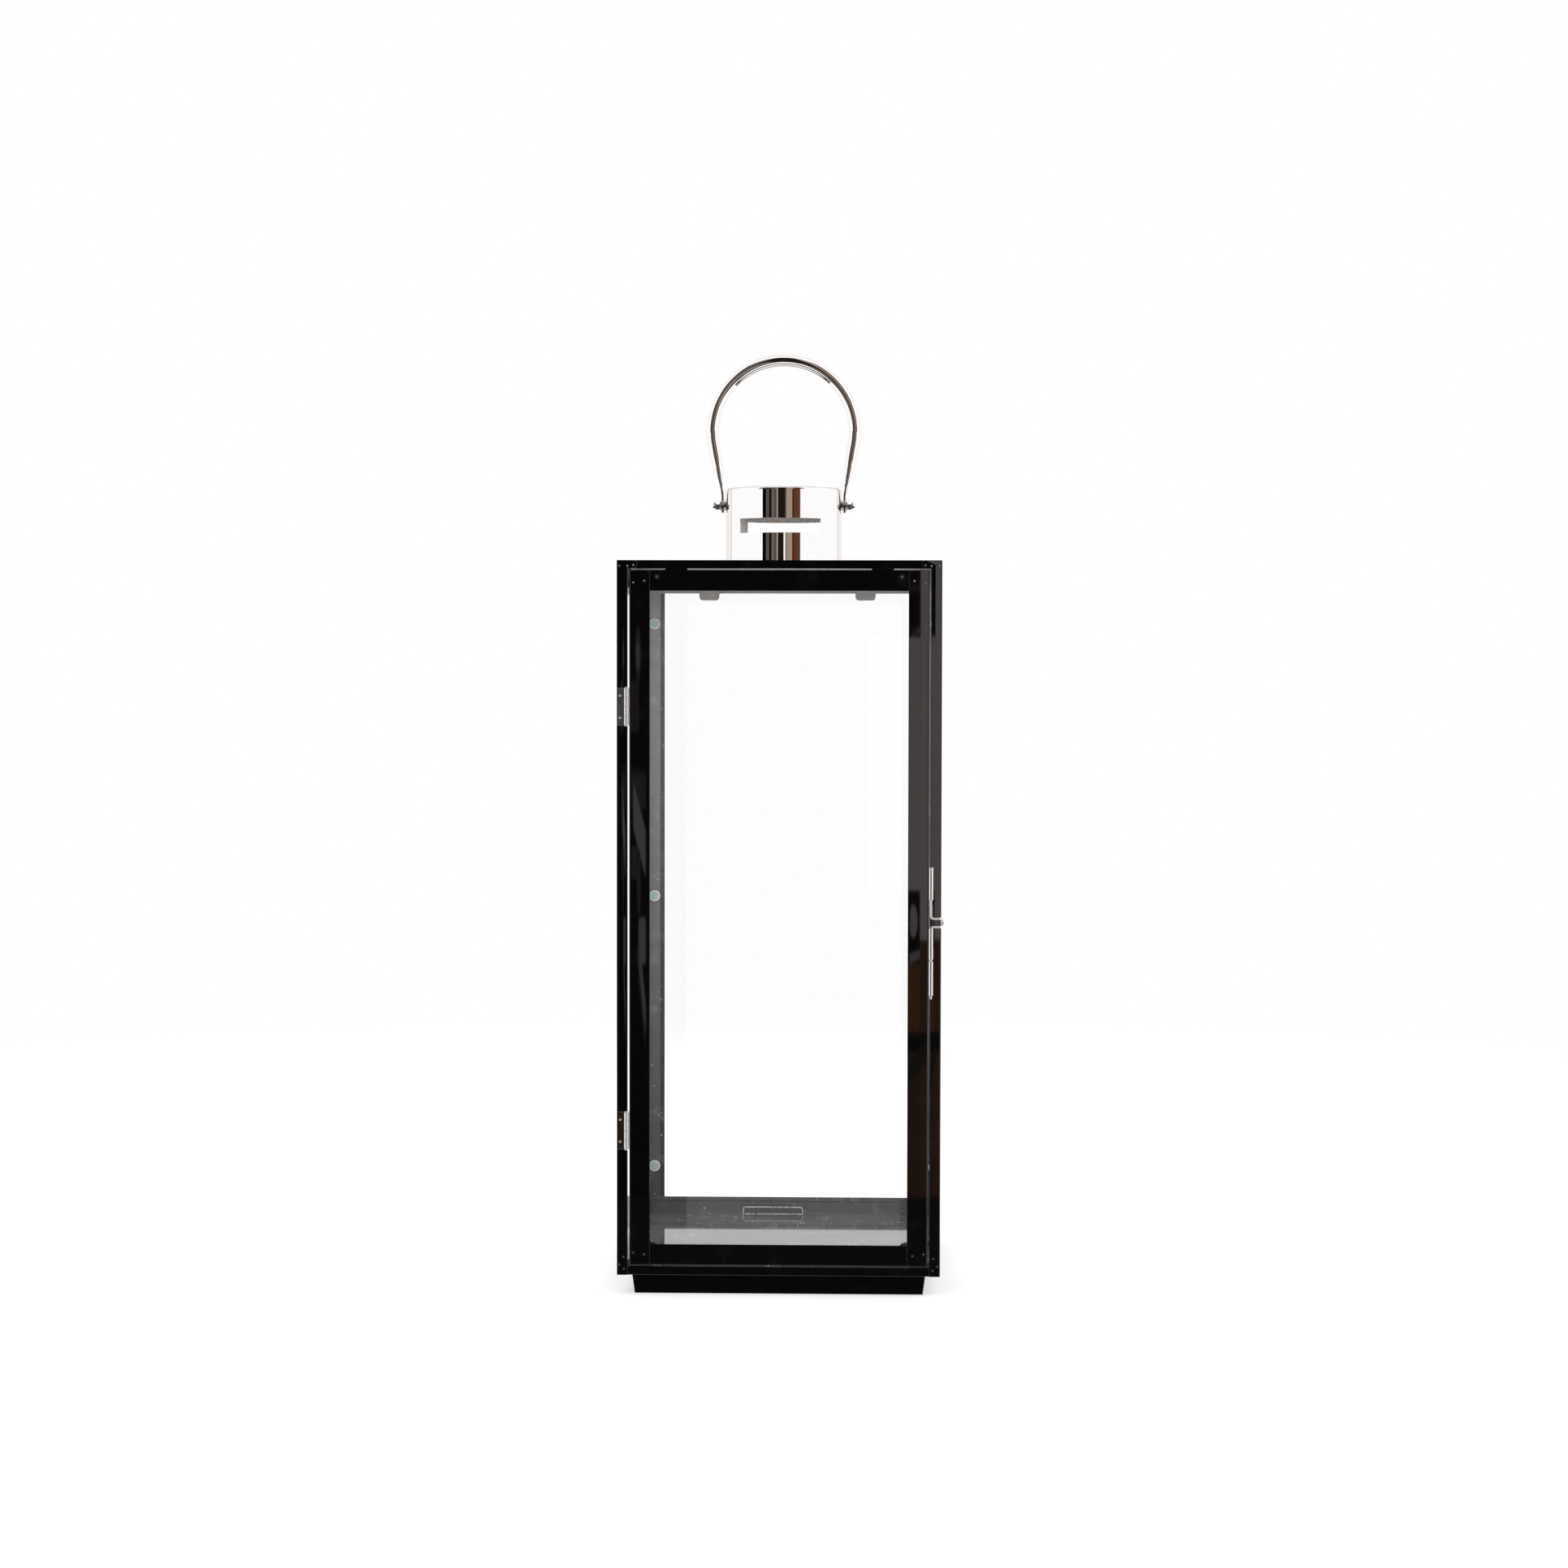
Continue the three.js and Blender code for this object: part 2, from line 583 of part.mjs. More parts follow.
// Where the tube's sections stand, from one blade's end to the top of the arch: the middle of
// each, the lean of the path there, how far the tube has opened, and the width of the round end
function handleStations() {
  const stations = [];
  const endRadius = bladeWidth / 2;
  for (let i = 1; i <= handleSteps.end; i += 1) {
    const angle = (quarter * i) / handleSteps.end;
    const [z, halfWide] = [-endRadius * Math.cos(angle), endRadius * Math.sin(angle)];
    stations.push({ x: bladeMiddle, z, lean: quarter, opening: 0, halfWide });
  }
  const legStart = new THREE.Vector2(bladeMiddle, bladeStraight);
  const centre = new THREE.Vector2(0, handleArchRise);
  const toLeg = legStart.clone().sub(centre);
  const around = toLeg.angle() + Math.acos(handleArchRadius / toLeg.length());
  const archStart = around > Math.PI ? around - 2 * Math.PI : around;
  const touch = new THREE.Vector2(Math.cos(archStart), Math.sin(archStart))
    .multiplyScalar(handleArchRadius).add(centre);
  const legLength = touch.distanceTo(legStart);
  const legLean = touch.clone().sub(legStart).angle();
  for (let i = 0; i < handleSteps.leg; i += 1) {
    const point = legStart.clone().lerp(touch, i / handleSteps.leg);
    const lean = i === 0 ? (legLean + quarter) / 2 : legLean;
    const opening = Math.min(1, (legLength * i) / handleSteps.leg / bladeTaper);
    stations.push({ x: point.x, z: point.y, lean, opening });
  }
  for (let i = 0; i <= handleSteps.arch; i += 1) {
    const angle = archStart + ((quarter - archStart) * i) / handleSteps.arch;
    const [x, z] = [handleArchRadius * Math.cos(angle), handleArchRise + handleArchRadius * Math.sin(angle)];
    stations.push({ x, z, lean: angle + quarter, opening: 1 });
  }
  return stations;
}

function handle() {
  const { lerp, smoothstep } = THREE.MathUtils;
  const half = handleStations();
  const otherHalf = half.slice(0, -1).reverse().map((s) => ({ ...s, x: -s.x, lean: 2 * Math.PI - s.lean }));
  const rings = [...half, ...otherHalf].map((s) => {
    const ease = smoothstep(s.opening, 0, 1);
    const halfThick = lerp(bladeThickness / 2, handleTubeRadius, ease);
    const halfWide = s.halfWide ?? lerp(bladeWidth / 2, handleTubeRadius, ease);
    const power = lerp(bladeSquareShare, 1, ease);
    return Array.from({ length: handleSides }, (unused, k) => {
      const angle = (2 * Math.PI * (k + 1 / 2)) / handleSides;
      const [c, n] = [Math.cos(angle), Math.sin(angle)];
      const across = halfThick * Math.sign(c) * Math.abs(c) ** power;
      const y = halfWide * Math.sign(n) * Math.abs(n) ** power;
      return new THREE.Vector3(s.x + across * Math.sin(s.lean), y, s.z - across * Math.cos(s.lean));
    });
  });
  const far = bladeInside + bladeThickness + cutOverrun;
  const holes = rod(screwRadius + boreClearance, -far, far, smallSides).rotateY(quarter);
  return cut([loft(rings)], holes);
}

// Pivot hardware, drawn along X outwards from the lantern's middle
function alongX(geometry, side) {
  return geometry.rotateY(side * quarter);
}

const flatInside = Math.sqrt((chimneyRadius - chimneySheet) ** 2 - screwHeadRadius ** 2);
const nutInside = bladeInside + bladeThickness + 2 * lap + washerThickness;

function pivotScrew(side) {
  const headTop = flatInside - lap;
  const headFoot = headTop - screwHeadHeight;
  const end = nutInside + nutBore - lap;
  const profile = [
    [0, headFoot], [screwHeadRadius * screwCrownShare, headFoot],
    [screwHeadRadius, headFoot + screwHeadHeight / 2],
    [screwHeadRadius, headTop], [screwRadius, headTop], [screwRadius, end], [0, end],
  ];
  return alongX(turned(profile, smallSides), side);
}

function washer(inside, side) {
  const disc = ring(screwRadius + boreClearance, washerRadius, inside, inside + washerThickness, smallSides);
  return alongX(disc, side);
}

// A domed nut over the screw's end
function nut(side) {
  const top = nutInside + nutHeight;
  const hexRadius = nutAcross / Math.sqrt(3);
  const hex = rod(hexRadius, nutInside, top, hexSides);
  const seat = top - nutHeight / 2;
  const curve = Array.from({ length: domeSteps }, (unused, k) => {
    const angle = (quarter * k) / domeSteps;
    return [domeRadius * Math.cos(angle), top + domeHeight * Math.sin(angle)];
  });
  const dome = turned([[0, seat], [domeRadius, seat], ...curve, [0, top + domeHeight]], smallSides);
  const bore = rod(screwRadius + boreClearance, nutInside - cutOverrun, nutInside + nutBore, smallSides);
  return alongX(cut([hex, dome], bore), side);
}

function frame() {
  const group = new THREE.Group();
  group.add(piece('plinth', plinth(), enamel), piece('base_pan', basePan(), enamel));
  group.add(piece('roof_pan', roofPan(), enamel), piece('rail_bottom_front', frontRail(), enamel));
  [['left', -1], ['right', 1]].forEach(([hand, sx]) => {
    [['front', -1], ['back', 1]].forEach(([end, sy]) => {
      group.add(piece(`post_${end}_${hand}`, post(sx, sy), enamel, [sx * halfX, sy * halfY, bodyBottom]));
    });
  });
  faces.forEach((face) => {
    const low = rail(face, bodyBottom, bodyBottom + bottomRailHeight, true);
    const high = rail(face, topRailTop - topRailHeight, topRailTop, false);
    group.add(piece(`rail_bottom_${face.name}`, low, enamel), piece(`rail_top_${face.name}`, high, enamel));
    group.add(piece(`glass_${face.name}`, pane(face), paneGlass));
    [['near', -1], ['far', 1]].forEach(([edge, side]) => {
      [['low', -1], ['middle', 0], ['high', 1]].forEach(([height, level]) => {
        const name = `glass_pad_${face.name}_${edge}_${height}`;
        group.add(piece(name, pad(face, side, level), silicone));
      });
    });
  });
  return group;
}

function door() {
  const group = new THREE.Group();
  group.add(piece('door_stile_left', doorStile(-1), enamel));
  group.add(piece('door_stile_right', doorStile(1), enamel));
  group.add(piece('door_rail_top', doorRail(true), enamel));
  group.add(piece('door_rail_bottom', doorRail(false), enamel));
  group.add(piece('door_glass', doorPane(), paneGlass));
  group.add(piece('clip_guide', clipGuide(), polished, [clipX, clipY, clipZ]));
  group.add(piece('clip_wire', clipWire(), polished, [clipX, clipY, clipZ]));
  return group;
}

function hinges() {
  const group = new THREE.Group();
  Object.entries(hingeHeights).forEach(([name, z]) => {
    const place = [hingeX, hingeY, z];
    group.add(piece(`hinge_${name}_post_leaf`, postLeaf(), polished, place));
    group.add(piece(`hinge_${name}_door_leaf`, doorLeaf(), polished, place));
    group.add(piece(`hinge_${name}_pin`, hingePin(), polished, place));
  });
  return group;
}

function top() {
  const group = new THREE.Group();
  group.add(piece('chimney', chimney(), polished, [0, 0, chimneyFoot]));
  group.add(piece('handle', handle(), polished, [0, 0, pivotZ]));
  [['left', -1], ['right', 1]].forEach(([hand, side]) => {
    const place = [0, 0, pivotZ];
    const outerInside = bladeInside + bladeThickness + lap;
    group.add(piece(`pivot_screw_${hand}`, pivotScrew(side), polished, place));
    group.add(piece(`inner_washer_${hand}`, washer(chimneyRadius + lap, side), polished, place));
    group.add(piece(`outer_washer_${hand}`, washer(outerInside, side), polished, place));
    group.add(piece(`pivot_nut_${hand}`, nut(side), polished, place));
  });
  return group;
}

const lantern = new THREE.Group();
lantern.add(frame(), door(), hinges(), top());

export default lantern;
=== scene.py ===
# Candle lantern: black enamelled sheet, four panes of glass, a polished chimney and its handle
import json
import math

import bmesh
import bpy
from mathutils import Matrix, Quaternion, Vector


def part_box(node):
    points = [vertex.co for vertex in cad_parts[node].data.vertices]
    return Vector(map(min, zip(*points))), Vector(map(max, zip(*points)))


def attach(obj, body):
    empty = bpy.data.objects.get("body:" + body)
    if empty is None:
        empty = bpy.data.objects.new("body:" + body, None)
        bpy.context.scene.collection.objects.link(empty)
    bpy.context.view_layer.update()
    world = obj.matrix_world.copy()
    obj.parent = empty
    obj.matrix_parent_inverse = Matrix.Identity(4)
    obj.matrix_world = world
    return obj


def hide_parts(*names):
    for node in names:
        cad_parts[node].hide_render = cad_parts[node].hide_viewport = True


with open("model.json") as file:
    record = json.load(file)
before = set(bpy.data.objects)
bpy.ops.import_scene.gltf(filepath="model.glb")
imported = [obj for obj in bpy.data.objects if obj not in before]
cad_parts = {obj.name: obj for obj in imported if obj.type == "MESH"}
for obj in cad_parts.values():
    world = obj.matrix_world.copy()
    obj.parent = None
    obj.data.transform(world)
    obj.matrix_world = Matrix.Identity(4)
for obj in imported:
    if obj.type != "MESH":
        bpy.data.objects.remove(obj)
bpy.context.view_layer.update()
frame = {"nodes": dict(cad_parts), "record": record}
slotOf = {part["node"]: part["material_slot"] for part in frame["record"]["subparts"]}
mm = 0.001
axisX, axisY, axisZ = Vector((1, 0, 0)), Vector((0, 1, 0)), Vector((0, 0, 1))
print("frame:", len(frame["nodes"]), "parts")


# Shader building

class Value:  # a shader output that can be added, multiplied or compared like a number
    def __init__(self, shading, socket):
        self.shading, self.socket = shading, socket

    def combined(self, operation, first, second=0.0):
        return self.shading.node("ShaderNodeMath", {"operation": operation}, {0: first, 1: second})

    def __add__(self, other):
        return self.combined("ADD", self, other)

    def __sub__(self, other):
        return self.combined("SUBTRACT", self, other)

    def __rsub__(self, other):
        return self.combined("SUBTRACT", other, self)

    def __mul__(self, other):
        return self.combined("MULTIPLY", self, other)

    def __truediv__(self, other):
        return self.combined("DIVIDE", self, other)

    def __pow__(self, other):
        return self.combined("POWER", self, other)

    def __neg__(self):
        return self.combined("MULTIPLY", self, -1.0)

    def __gt__(self, other):
        return self.combined("GREATER_THAN", self, other)

    def __lt__(self, other):
        return self.combined("LESS_THAN", self, other)

    __radd__, __rmul__ = __add__, __mul__

    def absolute(self):
        return self.combined("ABSOLUTE", self)

    def largest(self, other):
        return self.combined("MAXIMUM", self, other)


def setStops(ramp, stops):
    while len(ramp.elements) < len(stops):
        ramp.elements.new(1.0)
    for element, (place, tone) in zip(ramp.elements, stops):
        element.position = place
        element.color = (*tone, 1.0)


class Shading:  # the node tree of one material or world
    def __init__(self, owner):
        owner.use_nodes = True
        self.tree = owner.node_tree
        self.tree.nodes.clear()

    def node(self, kind, settings=None, values=None, output=0):
        made = self.tree.nodes.new(kind)
        for name, setting in (settings or {}).items():
            if name == "stops":
                setStops(made.color_ramp, setting)
            elif name == "interpolation" and kind == "ShaderNodeValToRGB":
                made.color_ramp.interpolation = setting
            else:
                setattr(made, name, setting)
        for name, value in (values or {}).items():
            if isinstance(value, Value):
                self.tree.links.new(value.socket, made.inputs[name])
            else:
                made.inputs[name].default_value = value
        return Value(self, made.outputs[output]) if made.outputs else made

    def place(self, scale=(1, 1, 1), turn=(0, 0, 0)):  # object coordinates in metres, stretched and turned
        here = self.node("ShaderNodeTexCoord", output="Object")
        return self.node("ShaderNodeMapping", values={"Vector": here, "Scale": scale, "Rotation": turn})

    def noise(self, place, scale, detail=2.0, roughness=0.5):
        values = {"Vector": place, "Scale": scale, "Detail": detail, "Roughness": roughness}
        return self.node("ShaderNodeTexNoise", values=values)

    def specks(self, place, scale, radius):  # 1 inside scattered round specks
        distance = self.node("ShaderNodeTexVoronoi", values={"Vector": place, "Scale": scale})
        return distance < radius

    def eased(self, value, low, high, start=0.0, end=1.0):
        values = {"Value": value, "From Min": low, "From Max": high, "To Min": start, "To Max": end}
        return self.node("ShaderNodeMapRange", {"interpolation_type": "SMOOTHSTEP"}, values)

    def blend(self, share, first, second):  # between two colours
        values = {"Factor": share, 6: first, 7: second}
        return self.node("ShaderNodeMix", {"data_type": "RGBA"}, values, output=2)

    def bump(self, height, strength, distance=0.001):
        values = {"Height": height, "Strength": strength, "Distance": distance}
        return self.node("ShaderNodeBump", values=values)

    def finish(self, shader, kind="ShaderNodeOutputMaterial"):
        self.node(kind, values={"Surface": shader})


def colour(red, green, blue):
    return (red, green, blue, 1.0)


# Materials

enamelLook = {
    "colour": colour(0.0021, 0.0020, 0.0021), "smear": colour(0.007, 0.0066, 0.007),
    "gloss": 0.016, "duller": 0.05, "refraction": 1.62, "waviness": 0.025, "waveHeight": 0.0005,
    # a thin pale film on the inner faces: dust, and painted light that grows paler towards the top
    "film": colour(0.9, 0.86, 0.84), "filmLow": 0.10, "filmHigh": 0.50, "filmGloss": 0.3, "hemShade": 0.75,
    # how far out, how low and how high the inner faces reach
    "inside": 0.1093, "insideFoot": 0.0155, "insideTop": 0.5003,
}


def insideShare(shading):  # 1 on the faces that look into the lantern, and the place they are at
    look = enamelLook
    place, facing = shading.place(), shading.node("ShaderNodeTexCoord", output="Normal")
    x, y, z = (shading.node("ShaderNodeSeparateXYZ", values={0: place}, output=k) for k in range(3))
    across, along = (shading.node("ShaderNodeSeparateXYZ", values={0: facing}, output=k) for k in (0, 1))
    within = x.absolute().largest(y.absolute()) < look["inside"]
    inner = within * (z > look["insideFoot"]) * (z < look["insideTop"])
    return inner * (x * across + y * along < 0.02), (x, y, z)


def dustMarks(shading):  # scattered specks, and short fine scratches that lie every way
    here = shading.place()
    specks = shading.specks(here, 170.0, 0.085) * (shading.noise(here, 45.0) > 0.52)
    scratches = 0.0
    for turn, scale in ((0.4, 16.0), (1.9, 11.0), (2.6, 13.0)):
        lines = shading.noise(shading.place(scale=(60, 1, 60), turn=(turn, turn, turn)), scale, detail=0.0)
        patch = shading.noise(shading.place(turn=(turn, 0, turn)), 60.0)
        scratches = shading.eased((lines - 0.5).absolute(), 0.02, 0.0) * (patch > 0.64) + scratches
    return specks, scratches


def enamel(name, hem=0.0, filmed=1.0):  # a folded hem along a post's inner edge stays darker, with less of the film's painted light
    look = enamelLook
    material = bpy.data.materials.new(name)
    shading = Shading(material)
    here = shading.place()
    waves = shading.noise(shading.place(scale=(1, 1, 0.25)), 26.0, detail=1.0)
    haze = shading.eased(shading.noise(here, 60.0, detail=4.0, roughness=0.6), 0.5, 0.85)
    inside, (x, y, height) = insideShare(shading)
    cloud = shading.noise(here, 120.0, detail=4.0, roughness=0.65)
    specks, scratches = dustMarks(shading)
    # painted light: the dust film is graded paler towards the top
    film = shading.eased(height, 0.02, 0.5, look["filmLow"], look["filmHigh"]) * (0.8 + 0.4 * cloud)
    if hem:
        nearest = x.absolute() + y.absolute() - x.absolute().largest(y.absolute())
        film = film * (1.0 - look["hemShade"] * (nearest < hem))
    film = filmed * inside * (film + 0.6 * specks + 0.5 * scratches)
    coat = shading.blend(haze, look["colour"], look["smear"])
    values = {
        "Base Color": shading.blend(film, coat, look["film"]),
        "Roughness": look["gloss"] + (look["duller"] - look["gloss"]) * haze + look["filmGloss"] * film,
        "IOR": look["refraction"],
        "Normal": shading.bump(waves, look["waviness"], look["waveHeight"]),
    }
    shading.finish(shading.node("ShaderNodeBsdfPrincipled", values=values))
    return material


floorLook = {
    "dust": colour(0.62, 0.59, 0.58), "scratch": colour(0.85, 0.82, 0.80), "gloss": 0.03, "duller": 0.10,
    "haze": 0.20,
    "front": (-0.074, -0.086),  # painted shade: a dark, dull strip behind the door's foot
}


def dustyEnamel(name):  # the floor inside: haze, specks of dust and fine scratches on a flat mirror
    look = floorLook
    material = bpy.data.materials.new(name)
    shading = Shading(material)
    smears = shading.noise(shading.place(), 22.0, detail=5.0, roughness=0.65)
    haze = shading.eased(smears, 0.35, 0.75)
    specks, scratches = dustMarks(shading)
    inside, place = insideShare(shading)
    # painted shade: the film is taken away and the surface dulled in a strip behind the door's foot
    paintedShadeStrip = shading.eased(place[1], *look["front"])
    film = inside * (look["haze"] * (0.7 + 0.6 * haze) + specks * 0.7) * (1.0 - paintedShadeStrip)
    filmed = shading.blend(film, enamelLook["colour"], look["dust"])
    clean = look["gloss"] + (look["duller"] - look["gloss"]) * haze * smears
    values = {
        "Base Color": shading.blend(scratches * 0.7 * inside, filmed, look["scratch"]),
        "Roughness": clean + 0.2 * specks + 0.85 * paintedShadeStrip,
        "IOR": enamelLook["refraction"],
        "Normal": shading.bump(scratches + 0.3 * specks, 0.1, 0.00003),
    }
    shading.finish(shading.node("ShaderNodeBsdfPrincipled", values=values))
    return material


steelLook = {
    "colour": colour(0.985, 0.975, 0.97), "dull": colour(0.88, 0.85, 0.83), "gloss": 0.012, "duller": 0.06,
    "lines": 0.03,
    # unpolished inside the chimney, and rolled knuckles on the hinges
    "chimneyCore": {"x": 0.0, "y": 0.0, "radius": 0.0406, "gloss": 0.42, "shade": 0.8},
    "hingeCore": {"x": -0.1033, "y": -0.11165, "radius": 0.00155, "gloss": 0.25, "shade": 0.0},
}


def steel(name, grain=(1, 1, 1), dulled=0.0, core=None):  # polished; duller within an upright core
    look = steelLook
    material = bpy.data.materials.new(name)
    shading = Shading(material)
    here = shading.place()
    clouds = shading.eased(shading.noise(here, 70.0, detail=4.0, roughness=0.6), 0.45, 0.8)
    lines = shading.noise(shading.place(scale=grain), 700.0, detail=2.0)
    gloss = look["gloss"] + (look["duller"] - look["gloss"]) * clouds * (0.25 + dulled) + 0.2 * dulled
    shade = clouds * 0.12 + lines * 0.05 + 0.3 * dulled
    if core:
        x, y = (shading.node("ShaderNodeSeparateXYZ", values={0: here}, output=k) for k in (0, 1))
        x, y = x - core["x"], y - core["y"]
        inner = (x * x + y * y) ** 0.5 < core["radius"]
        gloss = gloss + core["gloss"] * inner
        shade = shade + core["shade"] * inner
    values = {
        "Metallic": 1.0, "Base Color": shading.blend(shade, look["colour"], look["dull"]), "Roughness": gloss,
        "Normal": shading.bump(lines, look["lines"], 0.00002),
    }
    shading.finish(shading.node("ShaderNodeBsdfPrincipled", values=values))
    return material


glassLook = {"tint": colour(0.997, 1.0, 0.999), "smear": 0.02, "refraction": 1.3}


def glass(name):
    look = glassLook
    material = bpy.data.materials.new(name)
    shading = Shading(material)
    smears = shading.noise(shading.place(scale=(1, 1, 0.4)), 30.0, detail=3.0)
    values = {
        "Base Color": look["tint"], "IOR": look["refraction"], "Transmission Weight": 1.0,
        "Roughness": shading.eased(smears, 0.55, 0.8, 0.0, look["smear"]),
    }
    clear = shading.node("ShaderNodeBsdfPrincipled", values=values)
    plain = shading.node("ShaderNodeBsdfTransparent", values={"Color": look["tint"]})
    shadow = shading.node("ShaderNodeLightPath", output="Is Shadow Ray")
    bounce = shading.node("ShaderNodeLightPath", output="Is Diffuse Ray")
    through = {0: shadow.largest(bounce), 1: clear, 2: plain}
    shading.finish(shading.node("ShaderNodeMixShader", values=through))
    return material


# the white rim is a painted highlight round each pad
padLook = {"colour": colour(0.60, 0.75, 0.75), "rim": colour(1.0, 1.0, 1.0), "gloss": 0.28}


def silicone(name, tone):
    material = bpy.data.materials.new(name)
    shading = Shading(material)
    cloud = shading.noise(shading.place(), 500.0, detail=3.0)
    values = {
        "Base Color": shading.blend(cloud * 0.35, tone, colour(*(0.7 * part for part in tone[:3]))),
        "Roughness": padLook["gloss"] + 0.12 * cloud,
        "Subsurface Weight": 0.3, "Subsurface Radius": (1, 1, 1), "Subsurface Scale": 0.001,
        "Normal": shading.bump(cloud, 0.06, 0.0002),
    }
    shading.finish(shading.node("ShaderNodeBsdfPrincipled", values=values))
    return material


# painted highlights for the weld and rivet caps (bright, grey), and the bare cut edge of the floor tab (cut)
highlightAndBareLook = {"bright": colour(0.62, 0.60, 0.58), "grey": colour(0.13, 0.125, 0.12),
            "cut": colour(1.0, 0.97, 0.96), "patch": colour(0.05, 0.05, 0.05)}


def highlightAndBare(name, tone):  # a pale metal finish: painted highlights on the caps of raised marks, and the bare cut edge of the floor tab
    material = bpy.data.materials.new(name)
    shading = Shading(material)
    patches = shading.noise(shading.place(), 900.0, detail=3.0)
    values = {
        "Base Color": shading.blend(shading.eased(patches, 0.45, 0.7), tone, highlightAndBareLook["patch"]),
        "Roughness": 0.3 + 0.2 * patches, "Metallic": 0.2, "Normal": shading.bump(patches, 0.2, 0.00005),
    }
    shading.finish(shading.node("ShaderNodeBsdfPrincipled", values=values))
    return material


bareSpot = highlightAndBare("bareSpot", highlightAndBareLook["bright"])
rivetWorn = highlightAndBare("rivetWorn", highlightAndBareLook["grey"])
cutEdge = highlightAndBare("cutEdge", highlightAndBareLook["cut"])
blackEnamel = enamel("blackEnamel")
postEnamel = enamel("postEnamel", hem=0.0945)
doorEnamel = enamel("doorEnamel", filmed=0.2)
floorEnamel = dustyEnamel("floorEnamel")
chimneySteel = steel("chimneySteel", grain=(1, 1, 0.02), core=steelLook["chimneyCore"])
handleSteel = steel("handleSteel", grain=(0.05, 1, 0.05))
hardwareSteel = steel("hardwareSteel", grain=(1, 1, 0.1), dulled=0.2)
hingeSteel = steel("hingeSteel", grain=(1, 1, 0.1), dulled=0.3, core=steelLook["hingeCore"])
clipSteel = steel("clipSteel", grain=(1, 1, 0.1), dulled=1.2)
paneGlass = glass("paneGlass")
padClear = silicone("padClear", padLook["colour"])
padRim = silicone("padRim", padLook["rim"])
print("materials: ready")


# Mesh helpers

def finished(bm, name, body, materials, recalculate=True):  # a mesh as a piece that rides on a body
    if recalculate:
        bmesh.ops.recalc_face_normals(bm, faces=bm.faces)
    mesh = bpy.data.meshes.new(name)
    bm.to_mesh(mesh)
    bm.free()
    piece = bpy.data.objects.new(name, mesh)
    bpy.context.scene.collection.objects.link(piece)
    for material in materials:
        mesh.materials.append(material)
    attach(piece, body)
    return piece


def smoothed(piece, angle=38):
    piece.data.shade_smooth()
    piece.data.set_sharp_from_angle(angle=math.radians(angle))
    piece.modifiers.new("evenShading", "WEIGHTED_NORMAL").keep_sharp = True
    return piece


def carved(piece, cutters):  # takes the cutters out of a piece
    for cutter in cutters:
        cut = piece.modifiers.new("cut", "BOOLEAN")
        cut.operation, cut.solver, cut.object = "DIFFERENCE", "EXACT", cutter
    bpy.context.view_layer.update()
    shaped = bpy.data.meshes.new_from_object(piece.evaluated_get(bpy.context.evaluated_depsgraph_get()))
    piece.modifiers.clear()
    piece.data = shaped
    for cutter in cutters:
        bpy.data.objects.remove(cutter)
    return piece


def cutterFrom(bm):
    mesh = bpy.data.meshes.new("cutter")
    bm.to_mesh(mesh)
    bm.free()
    cutter = bpy.data.objects.new("cutter", mesh)
    bpy.context.scene.collection.objects.link(cutter)
    return cutter


def boxCutter(low, high, turned=0.0):
    bm = bmesh.new()
    middle, size = (Vector(low) + Vector(high)) / 2, Vector(high) - Vector(low)
    bmesh.ops.create_cube(bm, size=1.0, matrix=Matrix.Translation(middle) @ Matrix.Diagonal((*size, 1.0)))
    bm.transform(Matrix.Rotation(math.radians(turned), 4, "Z"))
    return cutterFrom(bm)


def rodCutter(centre, axis, radius, length):
    bm = bmesh.new()
    turn = axis.to_track_quat("Z", "Y").to_matrix().to_4x4()
    bmesh.ops.create_cone(
        bm, cap_ends=True, segments=32, radius1=radius, radius2=radius, depth=length,
        matrix=Matrix.Translation(centre) @ turn)
    return cutterFrom(bm)


def bodyOf(node):
    return next(name for name, parts in frame["record"]["behaviour"]["bodies"].items() if node in parts)


def pieceName(node):
    first, *rest = node.split("_")
    return first + "".join(word.capitalize() for word in rest)


# Folded sheet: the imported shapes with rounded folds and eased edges

sheetEdges = {"fold": 0.9 * mm, "edge": 0.3 * mm, "segments": 3, "foldSegments": 4, "corner": 2.2 * mm}


def mergedCopy(node):
    bm = bmesh.new()
    bm.from_mesh(frame["nodes"][node].data)
    bmesh.ops.remove_doubles(bm, verts=bm.verts, dist=0.002 * mm)
    bmesh.ops.dissolve_limit(
        bm, angle_limit=math.radians(0.5), verts=bm.verts, edges=bm.edges, use_dissolve_boundaries=False)
    return bm


def bevelEdges(bm, edges, width, segments):
    if edges:
        bmesh.ops.bevel(
            bm, geom=edges, offset=width, offset_type="OFFSET", segments=segments, profile=0.5,
            affect="EDGES", clamp_overlap=True, material=-1)


def eased(node, materials, edge=sheetEdges["edge"], isFold=None, isCorner=None, sharpest=38):
    bm = mergedCopy(node)
    if isCorner:
        corners = [e for e in bm.edges if isCorner(*(vert.co for vert in e.verts))]
        bevelEdges(bm, corners, sheetEdges["corner"], sheetEdges["foldSegments"])
    if isFold:
        folds = [e for e in bm.edges if isFold(*(vert.co for vert in e.verts))]
        bevelEdges(bm, folds, sheetEdges["fold"], sheetEdges["foldSegments"])
    limit = math.radians(sharpest)
    sharp = [e for e in bm.edges if len(e.link_faces) == 2 and e.calc_face_angle() > limit]
    bevelEdges(bm, sharp, edge, sheetEdges["segments"])
    piece = finished(bm, pieceName(node), bodyOf(node), materials, recalculate=False)
    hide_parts(node)
    return smoothed(piece, sharpest)


def cornerFold(box, sides):  # the upright edge of a box's outer corner, given as signs of X and Y
    low, high = box
    x = high.x if sides[0] > 0 else low.x
    y = high.y if sides[1] > 0 else low.y
    return lambda a, b: all(abs(v.x - x) < 0.02 * mm and abs(v.y - y) < 0.02 * mm for v in (a, b))


